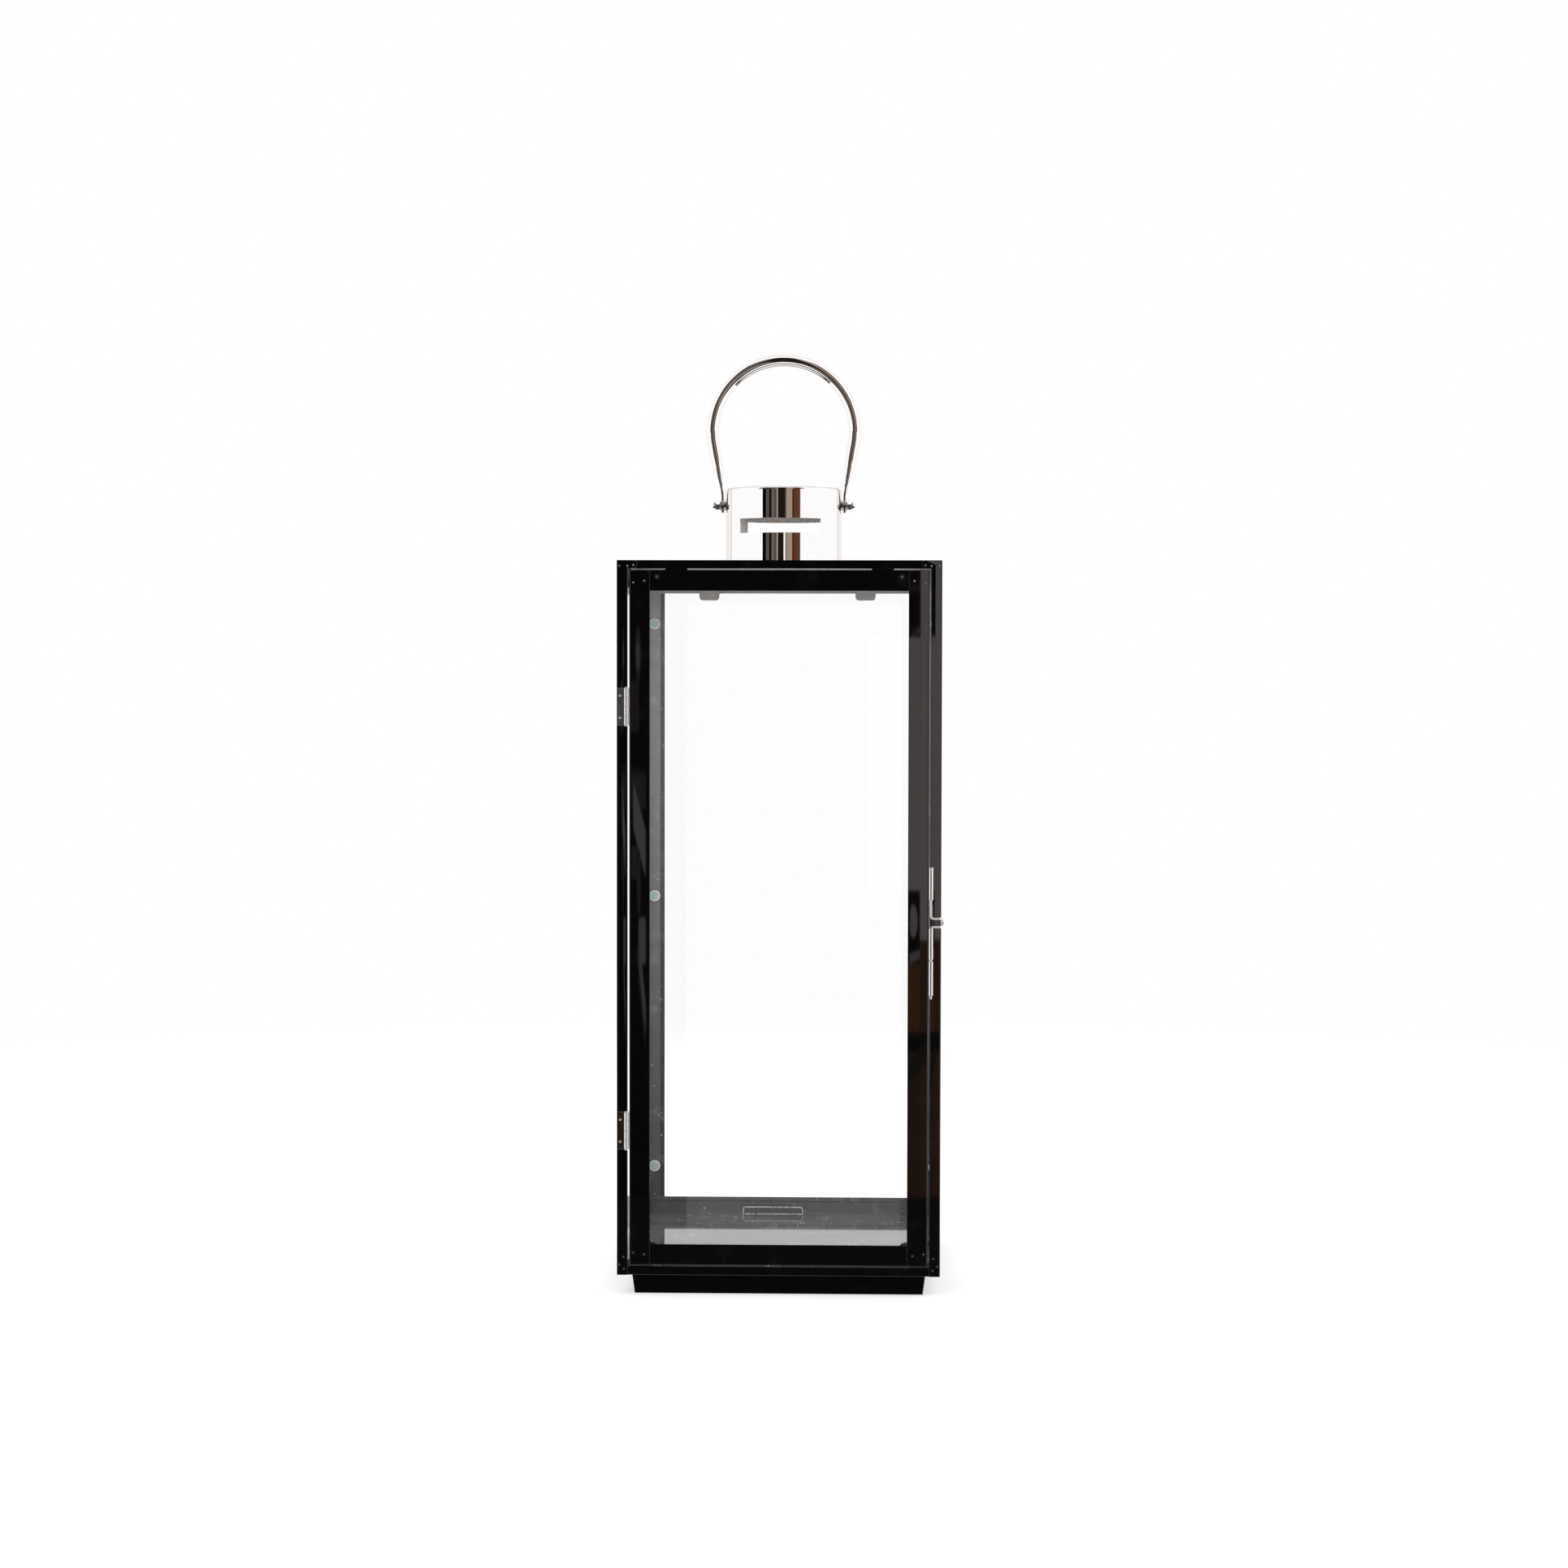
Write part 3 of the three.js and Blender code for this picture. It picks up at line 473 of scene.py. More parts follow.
def anyCorner(box):
    folds = [cornerFold(box, (sx, sy)) for sx in (-1, 1) for sy in (-1, 1)]
    return lambda a, b: any(fold(a, b) for fold in folds)


def flatCorner(x, heights):  # the short edges through the sheet at its free corners
    return lambda a, b: all(abs(v.x - x) < 0.02 * mm and min(abs(v.z - z) for z in heights) < 0.02 * mm
                            for v in (a, b)) and abs(a.z - b.z) < 0.02 * mm


def coatOf(node):  # the door takes a weaker film than the frame: less dust, and less painted light
    return doorEnamel if node.startswith("door") else blackEnamel


def sheetParts():
    for hand, sx in (("left", -1), ("right", 1)):
        for end, sy in (("front", -1), ("back", 1)):
            node = f"post_{end}_{hand}"
            low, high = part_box(node)
            earEnd = high.x if sx < 0 else low.x
            isCorner = flatCorner(earEnd, [high.z]) if end == "front" else None
            eased(node, [postEnamel], isFold=cornerFold((low, high), (sx, sy)), isCorner=isCorner)
        node = f"door_stile_{hand}"
        low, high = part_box(node)
        isCorner = flatCorner(high.x if sx < 0 else low.x, [low.z, high.z])
        eased(node, [coatOf(node)], isFold=cornerFold((low, high), (sx, -1)), isCorner=isCorner)
    for node in ("door_rail_top", "door_rail_bottom"):
        eased(node, [coatOf(node)])
    for node in ("roof_pan", "plinth"):
        eased(node, [coatOf(node)], isFold=anyCorner(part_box(node)))
    eased("base_pan", [floorEnamel], isFold=anyCorner(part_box("base_pan")))
    for node in sorted(frame["nodes"]):
        if node.startswith("rail_"):
            eased(node, [coatOf(node)])


sheetParts()
print("sheet: posts, rails, pans and door")


# Panes and the clear pads that hold them

padShape = {"rimShare": 0.74, "edge": 0.25 * mm, "sides": 40}


def bumper(node):
    low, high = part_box(node)
    centre, size = (low + high) / 2, high - low
    axis = axisX if size.x < size.y else axisY
    inwards = -1 if centre.dot(axis) > 0 else 1
    radius, thick = size.z / 2, min(size.x, size.y)
    turn = (axis * inwards).to_track_quat("Z", "Y").to_matrix().to_4x4()
    bm = bmesh.new()
    bmesh.ops.create_cone(
        bm, cap_ends=True, segments=padShape["sides"], radius1=radius, radius2=radius, depth=thick)
    rim = radius * (1 - padShape["rimShare"])
    for face in [f for f in bm.faces if abs(f.normal.z) > 0.9]:
        ring = bmesh.ops.inset_region(bm, faces=[face], thickness=rim)["faces"]
        # the ring and the sides take the white rim colour, a painted highlight
        for rimFace in ring:
            rimFace.material_index = 1
    for face in bm.faces:
        if abs(face.normal.z) < 0.5:
            face.material_index = 1
    sharp = [e for e in bm.edges if len(e.link_faces) == 2 and e.calc_face_angle() > 1.0]
    bevelEdges(bm, sharp, padShape["edge"], 3)
    bm.transform(Matrix.Translation(centre) @ turn)
    piece = finished(bm, pieceName(node), "lantern_body", [padClear, padRim])
    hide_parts(node)
    return smoothed(piece)


for node in sorted(frame["nodes"]):
    if node.startswith("glass_pad"):
        bumper(node)
    elif "glass" in node:
        frame["nodes"][node].data.materials.clear()
        frame["nodes"][node].data.materials.append(paneGlass)
print("glass: four panes and their pads")


# Chimney

chimneyShape = {"sheet": 0.8 * mm, "edge": 2.0 * mm, "edgeSteps": 6, "flange": 5.8 * mm, "sides": 144,
                "ventWidth": 56.4 * mm, "ventFoot": 21.4 * mm, "ventHeight": 10.2 * mm, "ventTurn": -3.0,
                "pivotHole": 2.3 * mm}


def spunAround(bm, outline, steps, centre=Vector()):  # a closed skin from an outline of radius and height
    verts = [bm.verts.new((radius, 0, height)) for radius, height in outline]
    edges = [bm.edges.new(pair) for pair in zip(verts, verts[1:])]
    bmesh.ops.spin(
        bm, geom=verts + edges, cent=centre, axis=axisZ, angle=2 * math.pi, steps=steps, use_merge=True,
        use_duplicate=False)
    bmesh.ops.remove_doubles(bm, verts=bm.verts, dist=0.001 * mm)


def chimney():
    look = chimneyShape
    low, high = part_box("chimney")
    pivot = (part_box("inner_washer_left")[0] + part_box("inner_washer_left")[1]) / 2
    radius, thick, edge = (high.y - low.y) / 2, look["sheet"], look["edge"]

    def rounded(size, backwards):
        angles = [math.pi / 2 * k / look["edgeSteps"] for k in range(look["edgeSteps"] + 1)]
        points = [(radius - edge + size * math.cos(a), high.z - edge + size * math.sin(a)) for a in angles]
        return points[::-1] if backwards else points

    inner = radius - thick
    outline = [(inner - look["flange"] + thick, low.z), (radius, low.z), *rounded(edge, False),
               (0, high.z), (0, high.z - thick), *rounded(edge - thick, True),
               (inner, low.z + thick), (inner - look["flange"] + thick, low.z + thick),
               (inner - look["flange"] + thick, low.z)]
    bm = bmesh.new()
    spunAround(bm, outline, look["sides"])
    piece = finished(bm, "chimney", "lantern_body", [chimneySteel])
    half, foot = look["ventWidth"] / 2, low.z + look["ventFoot"]
    top = foot + look["ventHeight"]
    vent = boxCutter((-half, -2 * radius, foot), (half, 2 * radius, top), look["ventTurn"])
    carved(piece, [vent, rodCutter(Vector((0, 0, pivot.z)), axisX, look["pivotHole"], 3 * radius)])
    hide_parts("chimney")
    return smoothed(piece, 30)


chimney()
print("chimney: spun, with its two vents")


# Handle: a tube bent round, with its ends pressed flat

handleShape = {"tube": 4.2 * mm, "arch": 50.3 * mm, "bladeThick": 1.6 * mm, "bladeWidth": 12 * mm,
               "straight": 6 * mm, "taper": 28 * mm, "gap": 1.3 * mm, "hole": 2.3 * mm,
               "sides": 32, "archSteps": 72, "legSteps": 20, "endSteps": 10}


def smoothStep(share):
    share = min(1.0, max(0.0, share))
    return share * share * (3 - 2 * share)


def handle():
    look = handleShape
    low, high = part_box("handle")
    pivotZ = low.z + look["bladeWidth"] / 2
    chimneyLow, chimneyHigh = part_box("chimney")
    bladeX = (chimneyHigh.y - chimneyLow.y) / 2 + look["gap"] + look["bladeThick"] / 2
    centre = Vector((0, 0, high.z - look["arch"] - look["tube"]))
    legFoot = Vector((bladeX, 0, pivotZ + look["straight"]))
    toLeg = legFoot - centre
    start = math.atan2(toLeg.z, toLeg.x) + math.acos(look["arch"] / toLeg.length)
    touch = centre + look["arch"] * Vector((math.cos(start), 0, math.sin(start)))
    bm = bmesh.new()
    section = bmesh.ops.create_circle(
        bm, segments=look["sides"], radius=look["tube"],
        matrix=Matrix.Translation(centre + axisX * look["arch"]))["verts"]
    bmesh.ops.rotate(bm, verts=section, cent=centre, matrix=Matrix.Rotation(-start, 3, "Y"))
    edges = list({e for v in section for e in v.link_edges})
    bmesh.ops.spin(
        bm, geom=section + edges, cent=centre, axis=-axisY, angle=math.pi - 2 * start,
        steps=look["archSteps"], use_duplicate=False)
    for side in (1, -1):
        ring = [e for e in bm.edges if e.is_boundary and side * e.verts[0].co.x > 0]
        ringOut(bm, ring, look, side, touch, legFoot, pivotZ)
    piece = finished(bm, "handle", "handle", [handleSteel])
    carved(piece, [rodCutter(Vector((0, 0, pivotZ)), axisX, look["hole"], 4 * bladeX)])
    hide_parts("handle")
    return smoothed(piece, 50)


def ringOut(bm, ring, look, side, touch, legFoot, pivotZ):  # from the arch's end to the blade's round tip
    legDown = (legFoot - touch).normalized()
    legAcross = Vector((-legDown.z, 0, legDown.x))
    stations = []
    for k in range(1, look["legSteps"] + 1):
        share = k / look["legSteps"]
        point = touch.lerp(legFoot, share)
        opening = smoothStep((legFoot - point).length / look["taper"])
        lean = legAcross if k < look["legSteps"] else (legAcross + axisX).normalized()
        stations.append((point, lean, opening, None))
    stations.append((Vector((legFoot.x, 0, pivotZ)), axisX, 0.0, None))
    for k in range(1, look["endSteps"] + 1):
        angle = math.pi / 2 * k / (look["endSteps"] + 0.35)
        end = look["bladeWidth"] / 2
        point = Vector((legFoot.x, 0, pivotZ - end * math.sin(angle)))
        stations.append((point, axisX, 0.0, end * math.cos(angle)))
    angles = [2 * math.pi * k / look["sides"] for k in range(look["sides"])]
    for point, lean, opening, width in stations:
        made = bmesh.ops.extrude_edge_only(bm, edges=ring)["geom"]
        verts = [v for v in made if isinstance(v, bmesh.types.BMVert)]
        ring = [e for e in made if isinstance(e, bmesh.types.BMEdge)]
        thick = look["bladeThick"] / 2 + (look["tube"] - look["bladeThick"] / 2) * opening
        wide = width or look["bladeWidth"] / 2 + (look["tube"] - look["bladeWidth"] / 2) * opening
        mirrored = Vector((side * point.x, 0, point.z))
        leaning = Vector((side * lean.x, 0, lean.z))
        for vert, angle in zip(ordered(verts), angles):
            swell = max(thick, look["tube"] * 0.9)
            depth = max(-thick, min(thick, swell * math.cos(angle)))
            vert.co = mirrored + leaning * depth + axisY * wide * math.sin(angle)
    bmesh.ops.holes_fill(bm, edges=ring)


def ordered(verts):  # the ring's points in turn, starting at the outermost
    loop = [max(verts, key=lambda v: (abs(v.co.x), -abs(v.co.y)))]
    known = set(verts)
    while len(loop) < len(verts):
        near = [e.other_vert(loop[-1]) for e in loop[-1].link_edges]
        fresh = [v for v in near if v in known and v not in loop]
        fresh.sort(key=lambda v: -v.co.y)
        loop.append(fresh[0])
    return loop


handle()
print("handle: bent tube")


# Wire clip

wireShape = {"radius": 0.8 * mm, "bend": 1.8 * mm, "low": 5.8 * mm, "high": 11.4 * mm, "sides": 16,
             "bendSteps": 8, "lean": 65, "armEnd": 1.75 * mm}


def followed(bm, start, heading, path, radius, sides):  # a round wire along runs and bends
    turn = heading.to_track_quat("Z", "Y").to_matrix().to_4x4()
    ring = bmesh.ops.create_circle(
        bm, cap_ends=True, segments=sides, radius=radius, matrix=Matrix.Translation(start) @ turn)["verts"]
    edges = list({e for v in ring for e in v.link_edges})
    here = start.copy()
    for step in path:
        if len(step) == 1:
            made = bmesh.ops.extrude_edge_only(bm, edges=edges)["geom"]
            verts = [v for v in made if isinstance(v, bmesh.types.BMVert)]
            bmesh.ops.translate(bm, verts=verts, vec=heading * step[0])
            here += heading * step[0]
        else:
            bend, towards, degrees = step
            centre, axis, angle = here + towards * bend, heading.cross(towards), math.radians(degrees)
            verts = list({v for e in edges for v in e.verts})
            made = bmesh.ops.spin(
                bm, geom=verts + edges, cent=centre, axis=axis, angle=angle,
                steps=max(2, round(wireShape["bendSteps"] * degrees / 90)), use_duplicate=False)["geom_last"]
            swing = Matrix.Rotation(angle, 3, axis)
            here, heading = centre + swing @ (here - centre), swing @ heading
        edges = [e for e in made if isinstance(e, bmesh.types.BMEdge)]
    bmesh.ops.holes_fill(bm, edges=edges)


def wireClip():
    look = wireShape
    low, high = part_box("clip_wire")
    radius, bend, lean = look["radius"], look["bend"], look["lean"]
    start = Vector((low.x + radius, low.y + radius, low.z))
    middle = (low.z + high.z) / 2
    arm = high.x - radius - look["armEnd"] - bend + 0.6 * mm - start.x
    out = Vector((math.cos(math.radians(lean)), math.sin(math.radians(lean)), 0))
    path = [
        (middle + look["low"] - bend - low.z,), (bend, axisX, 90), (arm - bend,), (bend, axisY, lean),
        ((look["high"] - look["low"]) / 2, axisZ, 180), (bend, Vector((-out.y, out.x, 0)), lean),
        (arm - bend,), (bend, axisZ, 90), (high.z - middle - look["high"] - bend,),
    ]
    bm = bmesh.new()
    followed(bm, start, axisZ, path, radius, look["sides"])
    piece = finished(bm, "clipWire", "clip", [hardwareSteel])
    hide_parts("clip_wire")
    return smoothed(piece, 50)


wireClip()
smallHardware = [n for n in sorted(frame["nodes"]) if slotOf[n] == "polished_steel"
                 and n not in ("chimney", "handle", "clip_wire")]
for node in smallHardware:
    finish = hingeSteel if "hinge" in node else clipSteel if node == "clip_guide" else hardwareSteel
    eased(node, [finish], edge=0.09 * mm, sharpest=42)
print("hardware: wire clip, hinges and", len(smallHardware), "small parts")


# Weld marks, rivet heads and the floor's back tab

markShape = {
    "weld": 0.9 * mm, "rivet": 1.6 * mm, "height": 0.25 * mm, "hinge": 0.75 * mm, "bare": 0.5,
    # millimetres inwards from the side, and from the top or the foot
    "postTop": [(1.9, 3.8), (7.4, 3.9), (11.4, 3.3)], "postFoot": [(1.9, 7.2), (5.0, 4.4), (4.6, 12.5)],
    "stileEnd": [(2.7, 8.4), (10.2, 7.3)], "railRivet": (18.6, 4.4), "hingeRivet": (2.2, 7.5),
}


def dots(name, body, materials, places, radius):  # low round heads, their outward caps in a painted highlight
    bm = bmesh.new()
    for place, out in places:
        turn = out.to_track_quat("Z", "Y").to_matrix().to_4x4()
        head = bmesh.ops.create_uvsphere(bm, u_segments=16, v_segments=12, radius=radius)["verts"]
        for face in {f for v in head for f in v.link_faces}:
            # the outward cap takes the last material, a painted highlight
            if face.calc_center_median().z > radius * math.cos(markShape["bare"]):
                face.material_index = len(materials) - 1
        flatten = Matrix.Diagonal((1, 1, markShape["height"] / radius, 1))
        bmesh.ops.transform(bm, matrix=Matrix.Translation(place) @ turn @ flatten, verts=head)
    return smoothed(finished(bm, name, body, materials), 60)


def frameMarks():
    low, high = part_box("post_front_left")
    front, left, right = low.y, low.x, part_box("post_front_right")[1].x
    upper, lower = [], []
    for edge, inwards in ((left, 1), (right, -1)):
        upper += [(Vector((edge + inwards * x * mm, front, high.z - z * mm)), -axisY)
                  for x, z in markShape["postTop"]]
        lower += [(Vector((edge + inwards * x * mm, front, low.z + z * mm)), -axisY)
                  for x, z in markShape["postFoot"]]
    # painted highlights: bright caps on the upper marks, grey caps on the lower ones
    for name, places, bare in (("weldMarksUpper", upper, bareSpot), ("weldMarksLower", lower, rivetWorn)):
        dots(name, "lantern_body", [blackEnamel, bare], places, markShape["weld"])


def doorMarks():
    low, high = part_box("door_stile_left")
    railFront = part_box("door_rail_top")[0].y
    upper, lower, rivets = [], [], []
    acrossRail, downRail = markShape["railRivet"]
    for side in (-1, 1):
        outer = side * abs(low.x)
        for welds, z, inwards in ((upper, high.z, -1), (lower, low.z, 1)):
            welds += [(Vector((outer - side * x * mm, low.y, z + inwards * rise * mm)), -axisY)
                      for x, rise in markShape["stileEnd"]]
        rivets.append((Vector((outer - side * acrossRail * mm, railFront, high.z - downRail * mm)), -axisY))
    # painted highlights: bright caps on the upper welds, grey caps on the lower welds and rivets
    dots("doorWeldsUpper", "door", [blackEnamel, bareSpot], upper, markShape["weld"])
    dots("doorWeldsLower", "door", [blackEnamel, rivetWorn], lower, markShape["weld"])
    dots("doorRivets", "door", [blackEnamel, rivetWorn], rivets, markShape["rivet"])


def hingeRivets():
    inwards, apart = markShape["hingeRivet"]
    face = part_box("post_front_left")[0].y - 0.9 * mm
    for hinge in ("upper", "lower"):
        low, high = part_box(f"hinge_{hinge}_post_leaf")
        middle = (low.z + high.z) / 2
        places = [(Vector((low.x + inwards * mm, face, middle + rise * mm)), -axisY)
                  for rise in (-apart, apart)]
        dots(f"hingeRivets{hinge.capitalize()}", "lantern_body", [hardwareSteel], places,
             markShape["hinge"])


tabShape = {"from": -32.5 * mm, "to": 12.5 * mm, "back": (103.55 * mm, 104.35 * mm), "foot": 0.8 * mm,
            "corner": 2.17 * mm, "rim": 0.75 * mm, "skin": 0.06 * mm}


def floorTab():  # a skin over the low tab in front of the back pane, its cut edge bare
    look = tabShape
    skin, near, far = look["skin"], *look["back"]
    floor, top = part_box("plinth")[1].z + look["foot"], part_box("base_pan")[1].z
    size = Vector((look["to"] - look["from"] + 2 * skin, far - near + 2 * skin, top + skin - floor))
    centre = Vector(((look["to"] + look["from"]) / 2, (near + far) / 2, floor + size.z / 2))
    bm = bmesh.new()
    bmesh.ops.create_cube(bm, size=1.0, matrix=Matrix.Translation(centre) @ Matrix.Diagonal((*size, 1)))
    through = [e for e in bm.edges if abs(e.verts[0].co.y - e.verts[1].co.y) > size.y / 2]
    corners = [e for e in through if e.verts[0].co.z > centre.z]
    bmesh.ops.bevel(
        bm, geom=corners, offset=look["corner"], segments=6, profile=0.5, affect="EDGES", material=-1)
    bm.normal_update()
    front = [face for face in bm.faces if face.normal.y < -0.9]
    rim = bmesh.ops.inset_region(bm, faces=front, thickness=look["rim"], use_even_offset=True)["faces"]
    for face in bm.faces:
        face.material_index = 1 if face in rim or abs(face.normal.y) < 0.9 else 0
    piece = finished(bm, "floorTab", "lantern_body", [blackEnamel, cutEdge])
    return smoothed(piece)


floorTab()
frameMarks()
doorMarks()
hingeRivets()
print("marks: welds and rivets")


# Studio: floor, world, lamps and camera

studio = {
    "floorColour": colour(0.82, 0.82, 0.82), "floorLift": 0.5, "floorRadius": 14.0, "fade": (0.7, 1.6),
    "worldLevel": 0.62,
    "lamps": [  # place, size and watts
        ("keyLamp", (-1.6, -2.2, 2.6), 1.6, 26.0), ("fillLamp", (2.2, -1.2, 1.8), 1.8, 14.0),
        ("backLamp", (0.4, 2.4, 2.2), 1.8, 14.0)],
    "lit": (0, 0, 0.3),
    # what the polished parts mirror behind the camera: azimuth in degrees from -Y towards +X, and colour
    "stripes": [
        (-41.1, (0.002, 0.002, 0.002)), (-34.3, (0.085, 0.077, 0.072)), (-27.7, (0.009, 0.005, 0.004)),
        (-22.8, (0.120, 0.108, 0.098)), (-17.0, (0.078, 0.065, 0.058)), (-13.0, (0.300, 0.275, 0.254)),
        (-9.8, (0.013, 0.009, 0.006)), (3.0, (0.045, 0.032, 0.027)), (6.1, (0.330, 0.262, 0.216)),
        (18.1, (0.054, 0.019, 0.008)), (21.4, (0.117, 0.040, 0.018)), (30.3, (0.080, 0.060, 0.050)),
        (34.5, (1.0, 0.99, 0.985))],
    "top": 56.0, "foot": -31.0, "spread": 0.2, "spreadFrom": 3.9,
    # what the enamel mirrors: azimuth from and to, height from and to, slope and colour
    "cards": [
        (-6.0, 30.5, -31.0, -9.7, 0.0, (0.030, 0.027, 0.026)),  # near the ground
        (-5.2, -4.48, -1.2, -0.25, 0.0, (0.125, 0.115, 0.108)),  # at the upper hinge
        (0.0, 1.3, -4.1, 0.56, 0.0, (0.95, 0.86, 0.83)),  # pale wall, in the door and in the post
        (1.3, 4.7, -5.0, 2.6, 0.0, (1.0, 0.90, 0.87)),
        (0.3, 1.3, -9.7, -5.45, 0.0, (0.17, 0.085, 0.05)),  # brown below it
        (1.3, 30.5, -9.7, -5.0, 0.0, (0.22, 0.10, 0.055)),
        (0.3, 1.3, -6.7, -5.45, 0.0, (0.34, 0.145, 0.065)),
        (0.3, 4.7, -7.05, -6.7, 0.0, (0.02, 0.018, 0.018)),  # dark bands across the brown
        (0.3, 1.7, -7.8, -7.4, 0.4, (0.07, 0.06, 0.055)),
        (0.6, 1.3, -5.45, -5.28, 0.15, (0.55, 0.52, 0.50)),
        (-4.9, -4.1, -2.6, -1.96, 0.0, (0.14, 0.14, 0.14)),  # on the hinged side, from the middle down
        (-4.8, -4.1, -2.95, -2.1, -1.3, (0.62, 0.60, 0.59)),
        (-4.9, -4.5, -3.9, -3.3, 0.0, (0.15, 0.15, 0.15)),
        (-4.5, -4.1, -5.45, -4.6, 0.0, (0.56, 0.55, 0.56)),
        (-4.5, -4.1, -5.45, -4.9, -3.2, (0.56, 0.55, 0.56)),
        (-4.5, -4.1, -5.75, -5.45, -3.2, (0.16, 0.16, 0.17))],
    # round and long soft shapes: azimuth, height, half width, half height and grey
    "shapes": [
        (0.92, -4.62, 0.30, 0.40, 0.02), (0.92, -4.66, 0.26, 0.32, 0.70), (-4.52, 0.25, 0.17, 0.53, 0.17),
        (-4.53, 0.22, 0.08, 0.27, 0.60), (-4.48, -3.99, 0.15, 0.70, 0.02), (-4.48, -3.99, 0.11, 0.60, 0.16)],
    "seams": (-126.0, 136.0), "seamWidth": 2.0, "behind": (0.90, 0.845, 0.83),
}

cameraPlace = {
    "position": Vector((0.0599, -2.2145, 0.4284)), "target": Vector((0.0005, 0, 0.3453)), "roll": 0.1,
    "lens": 71.54,
}


def studioWorld():
    world = bpy.data.worlds.new("studio")
    bpy.context.scene.world = world
    shading = Shading(world)
    way = shading.node("ShaderNodeTexCoord", output="Generated")
    parts = [shading.node("ShaderNodeSeparateXYZ", values={0: way}, output=k) for k in range(3)]
    degrees = 180 / math.pi
    azimuth = shading.node("ShaderNodeMath", {"operation": "ARCTAN2"}, {0: parts[0], 1: -parts[1]}) * degrees
    height = shading.node("ShaderNodeMath", {"operation": "ARCSINE"}, {0: parts[2]}) * degrees

    def between(value, low, high):
        return (value > low) * (value < high)

    first, last = studio["stripes"][0][0], studio["stripes"][-1][0]
    stops = [((place - first) / (last - first), tone) for place, tone in studio["stripes"]]
    spread = azimuth * (1.0 - studio["spread"] * (height > studio["spreadFrom"]))
    along = shading.node("ShaderNodeMapRange", values={"Value": spread, "From Min": first, "From Max": last})
    stripes = shading.node(
        "ShaderNodeValToRGB", {"stops": stops, "interpolation": "CONSTANT"}, {0: along})
    seen = stripes
    for start, end, foot, top, slope, tone in studio["cards"]:
        level = height - slope * (azimuth - start)
        seen = shading.blend(between(azimuth, start, end) * between(level, foot, top), seen, colour(*tone))
    for across, up, halfWidth, halfHeight, grey in studio["shapes"]:
        beside, above = (azimuth - across) / halfWidth, (height - up) / halfHeight
        inShape = shading.eased((beside * beside + above * above) ** 0.5, 1.0, 0.86)
        seen = shading.blend(inShape, seen, colour(grey, grey, grey))
    dark = between(spread, first, last) * between(height, studio["foot"], studio["top"])
    seams = 0.0
    for seam in studio["seams"]:
        seams = shading.eased((azimuth - seam).absolute(), studio["seamWidth"], 0.0) + seams
    rear = (azimuth < studio["seams"][0]).largest(azimuth > studio["seams"][1])
    white = shading.blend(rear, colour(1, 1, 1), colour(*studio["behind"]))
    white = shading.blend(seams * 0.5, white, colour(0.25, 0.22, 0.21))
    mirrored = shading.blend(dark, white, seen)
    path = {name: shading.node("ShaderNodeLightPath", output=name)
            for name in ("Is Camera Ray", "Is Glossy Ray", "Is Transmission Ray")}
    level = studio["worldLevel"]
    shown = shading.blend(path["Is Glossy Ray"], colour(level, level, level), mirrored)
    shown = shading.blend(path["Is Camera Ray"].largest(path["Is Transmission Ray"]), shown, colour(1, 1, 1))
    shading.finish(shading.node("ShaderNodeBackground", values={"Color": shown}), "ShaderNodeOutputWorld")


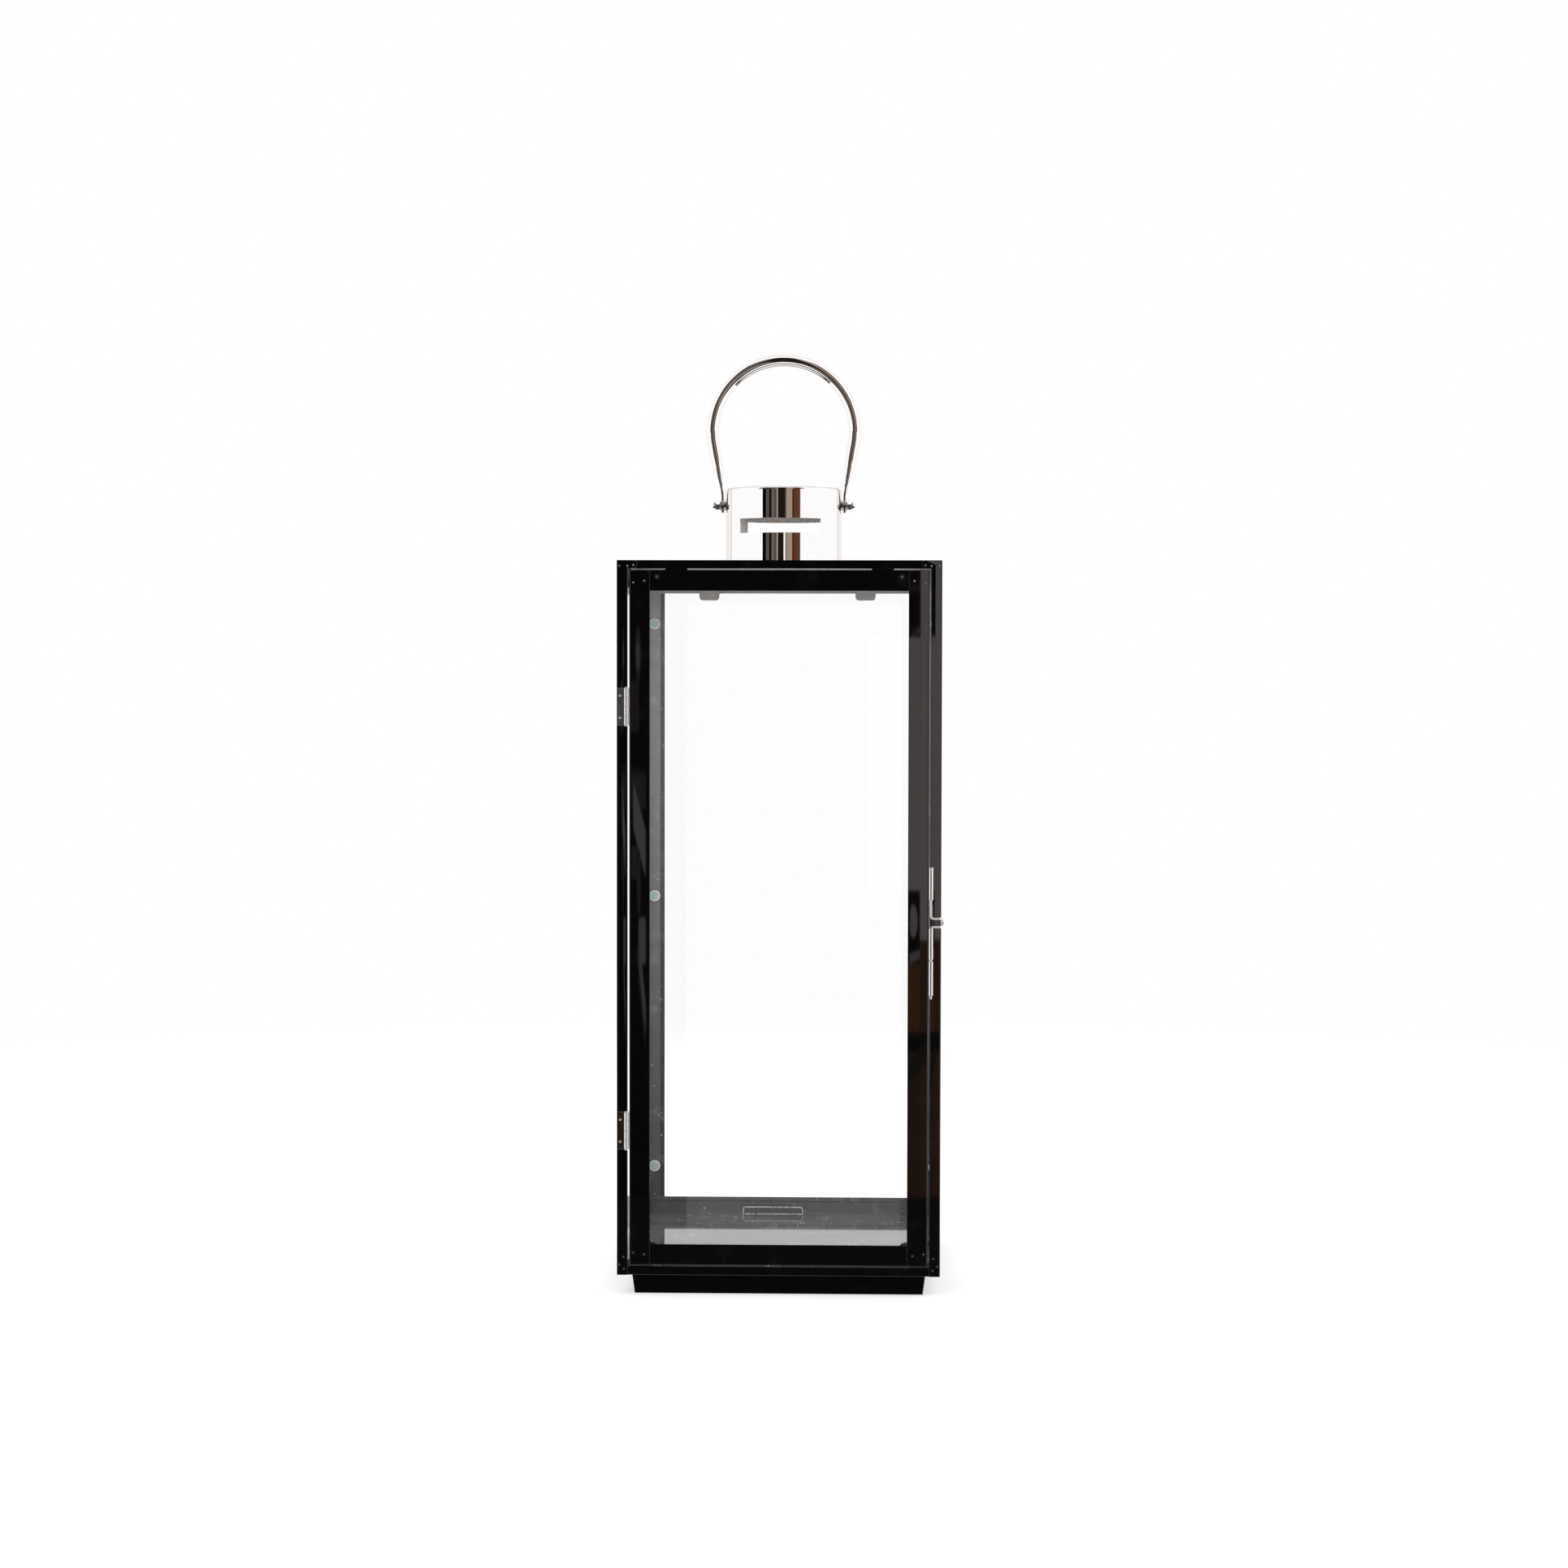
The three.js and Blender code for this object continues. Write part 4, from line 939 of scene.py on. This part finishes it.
def studioFloor():
    bm = bmesh.new()
    bmesh.ops.create_circle(bm, cap_ends=True, segments=64, radius=studio["floorRadius"])
    mesh = bpy.data.meshes.new("floor")
    bm.to_mesh(mesh)
    bm.free()
    floor = bpy.data.objects.new("floor", mesh)
    bpy.context.scene.collection.objects.link(floor)
    material = bpy.data.materials.new("floorWhite")
    shading = Shading(material)
    path = {name: shading.node("ShaderNodeLightPath", output=name)
            for name in ("Is Camera Ray", "Is Glossy Ray", "Is Transmission Ray")}
    seen = path["Is Camera Ray"].largest(path["Is Glossy Ray"]).largest(path["Is Transmission Ray"])
    parts = [shading.node("ShaderNodeSeparateXYZ", values={0: shading.place()}, output=k) for k in (0, 1)]
    away = (parts[0] * parts[0] + parts[1] * parts[1]) ** 0.5
    far = shading.eased(away, *studio["fade"])
    paper = shading.node("ShaderNodeBsdfDiffuse", values={"Color": studio["floorColour"]})
    lift = studio["floorLift"]
    glow = shading.node("ShaderNodeEmission", values={
        "Color": shading.blend(seen, colour(0, 0, 0), colour(lift, lift, lift))})
    lifted = shading.node("ShaderNodeAddShader", values={0: paper, 1: glow})
    white = shading.node("ShaderNodeEmission", values={"Color": colour(1, 1, 1)})
    shading.finish(shading.node("ShaderNodeMixShader", values={0: far * seen, 1: lifted, 2: white}))
    mesh.materials.append(material)
    floor.visible_glossy = False  # polished parts mirror the studio's own lower half instead


def lamp(name, position, size, watts):
    data = bpy.data.lights.new(name, "AREA")
    data.shape, data.size, data.energy = "DISK", size, watts
    light = bpy.data.objects.new(name, data)
    bpy.context.scene.collection.objects.link(light)
    light.location = position
    light.rotation_mode = "QUATERNION"
    light.rotation_quaternion = (Vector(studio["lit"]) - Vector(position)).to_track_quat("-Z", "Y")
    light.visible_glossy = light.visible_transmission = light.visible_camera = False


def studioCamera():
    data = bpy.data.cameras.new("camera")
    data.lens, data.sensor_width, data.sensor_fit = cameraPlace["lens"], 36.0, "AUTO"
    data.clip_start, data.clip_end = 0.05, 60.0
    camera = bpy.data.objects.new("camera", data)
    bpy.context.scene.collection.objects.link(camera)
    camera.location = cameraPlace["position"]
    camera.rotation_mode = "QUATERNION"
    aim = (cameraPlace["target"] - cameraPlace["position"]).to_track_quat("-Z", "Y")
    camera.rotation_quaternion = aim @ Quaternion(axisZ, math.radians(cameraPlace["roll"]))
    bpy.context.scene.camera = camera


studioWorld()
studioFloor()
for setting in studio["lamps"]:
    lamp(*setting)
studioCamera()
bpy.context.scene.view_settings.view_transform = "Standard"
print("studio: ready")
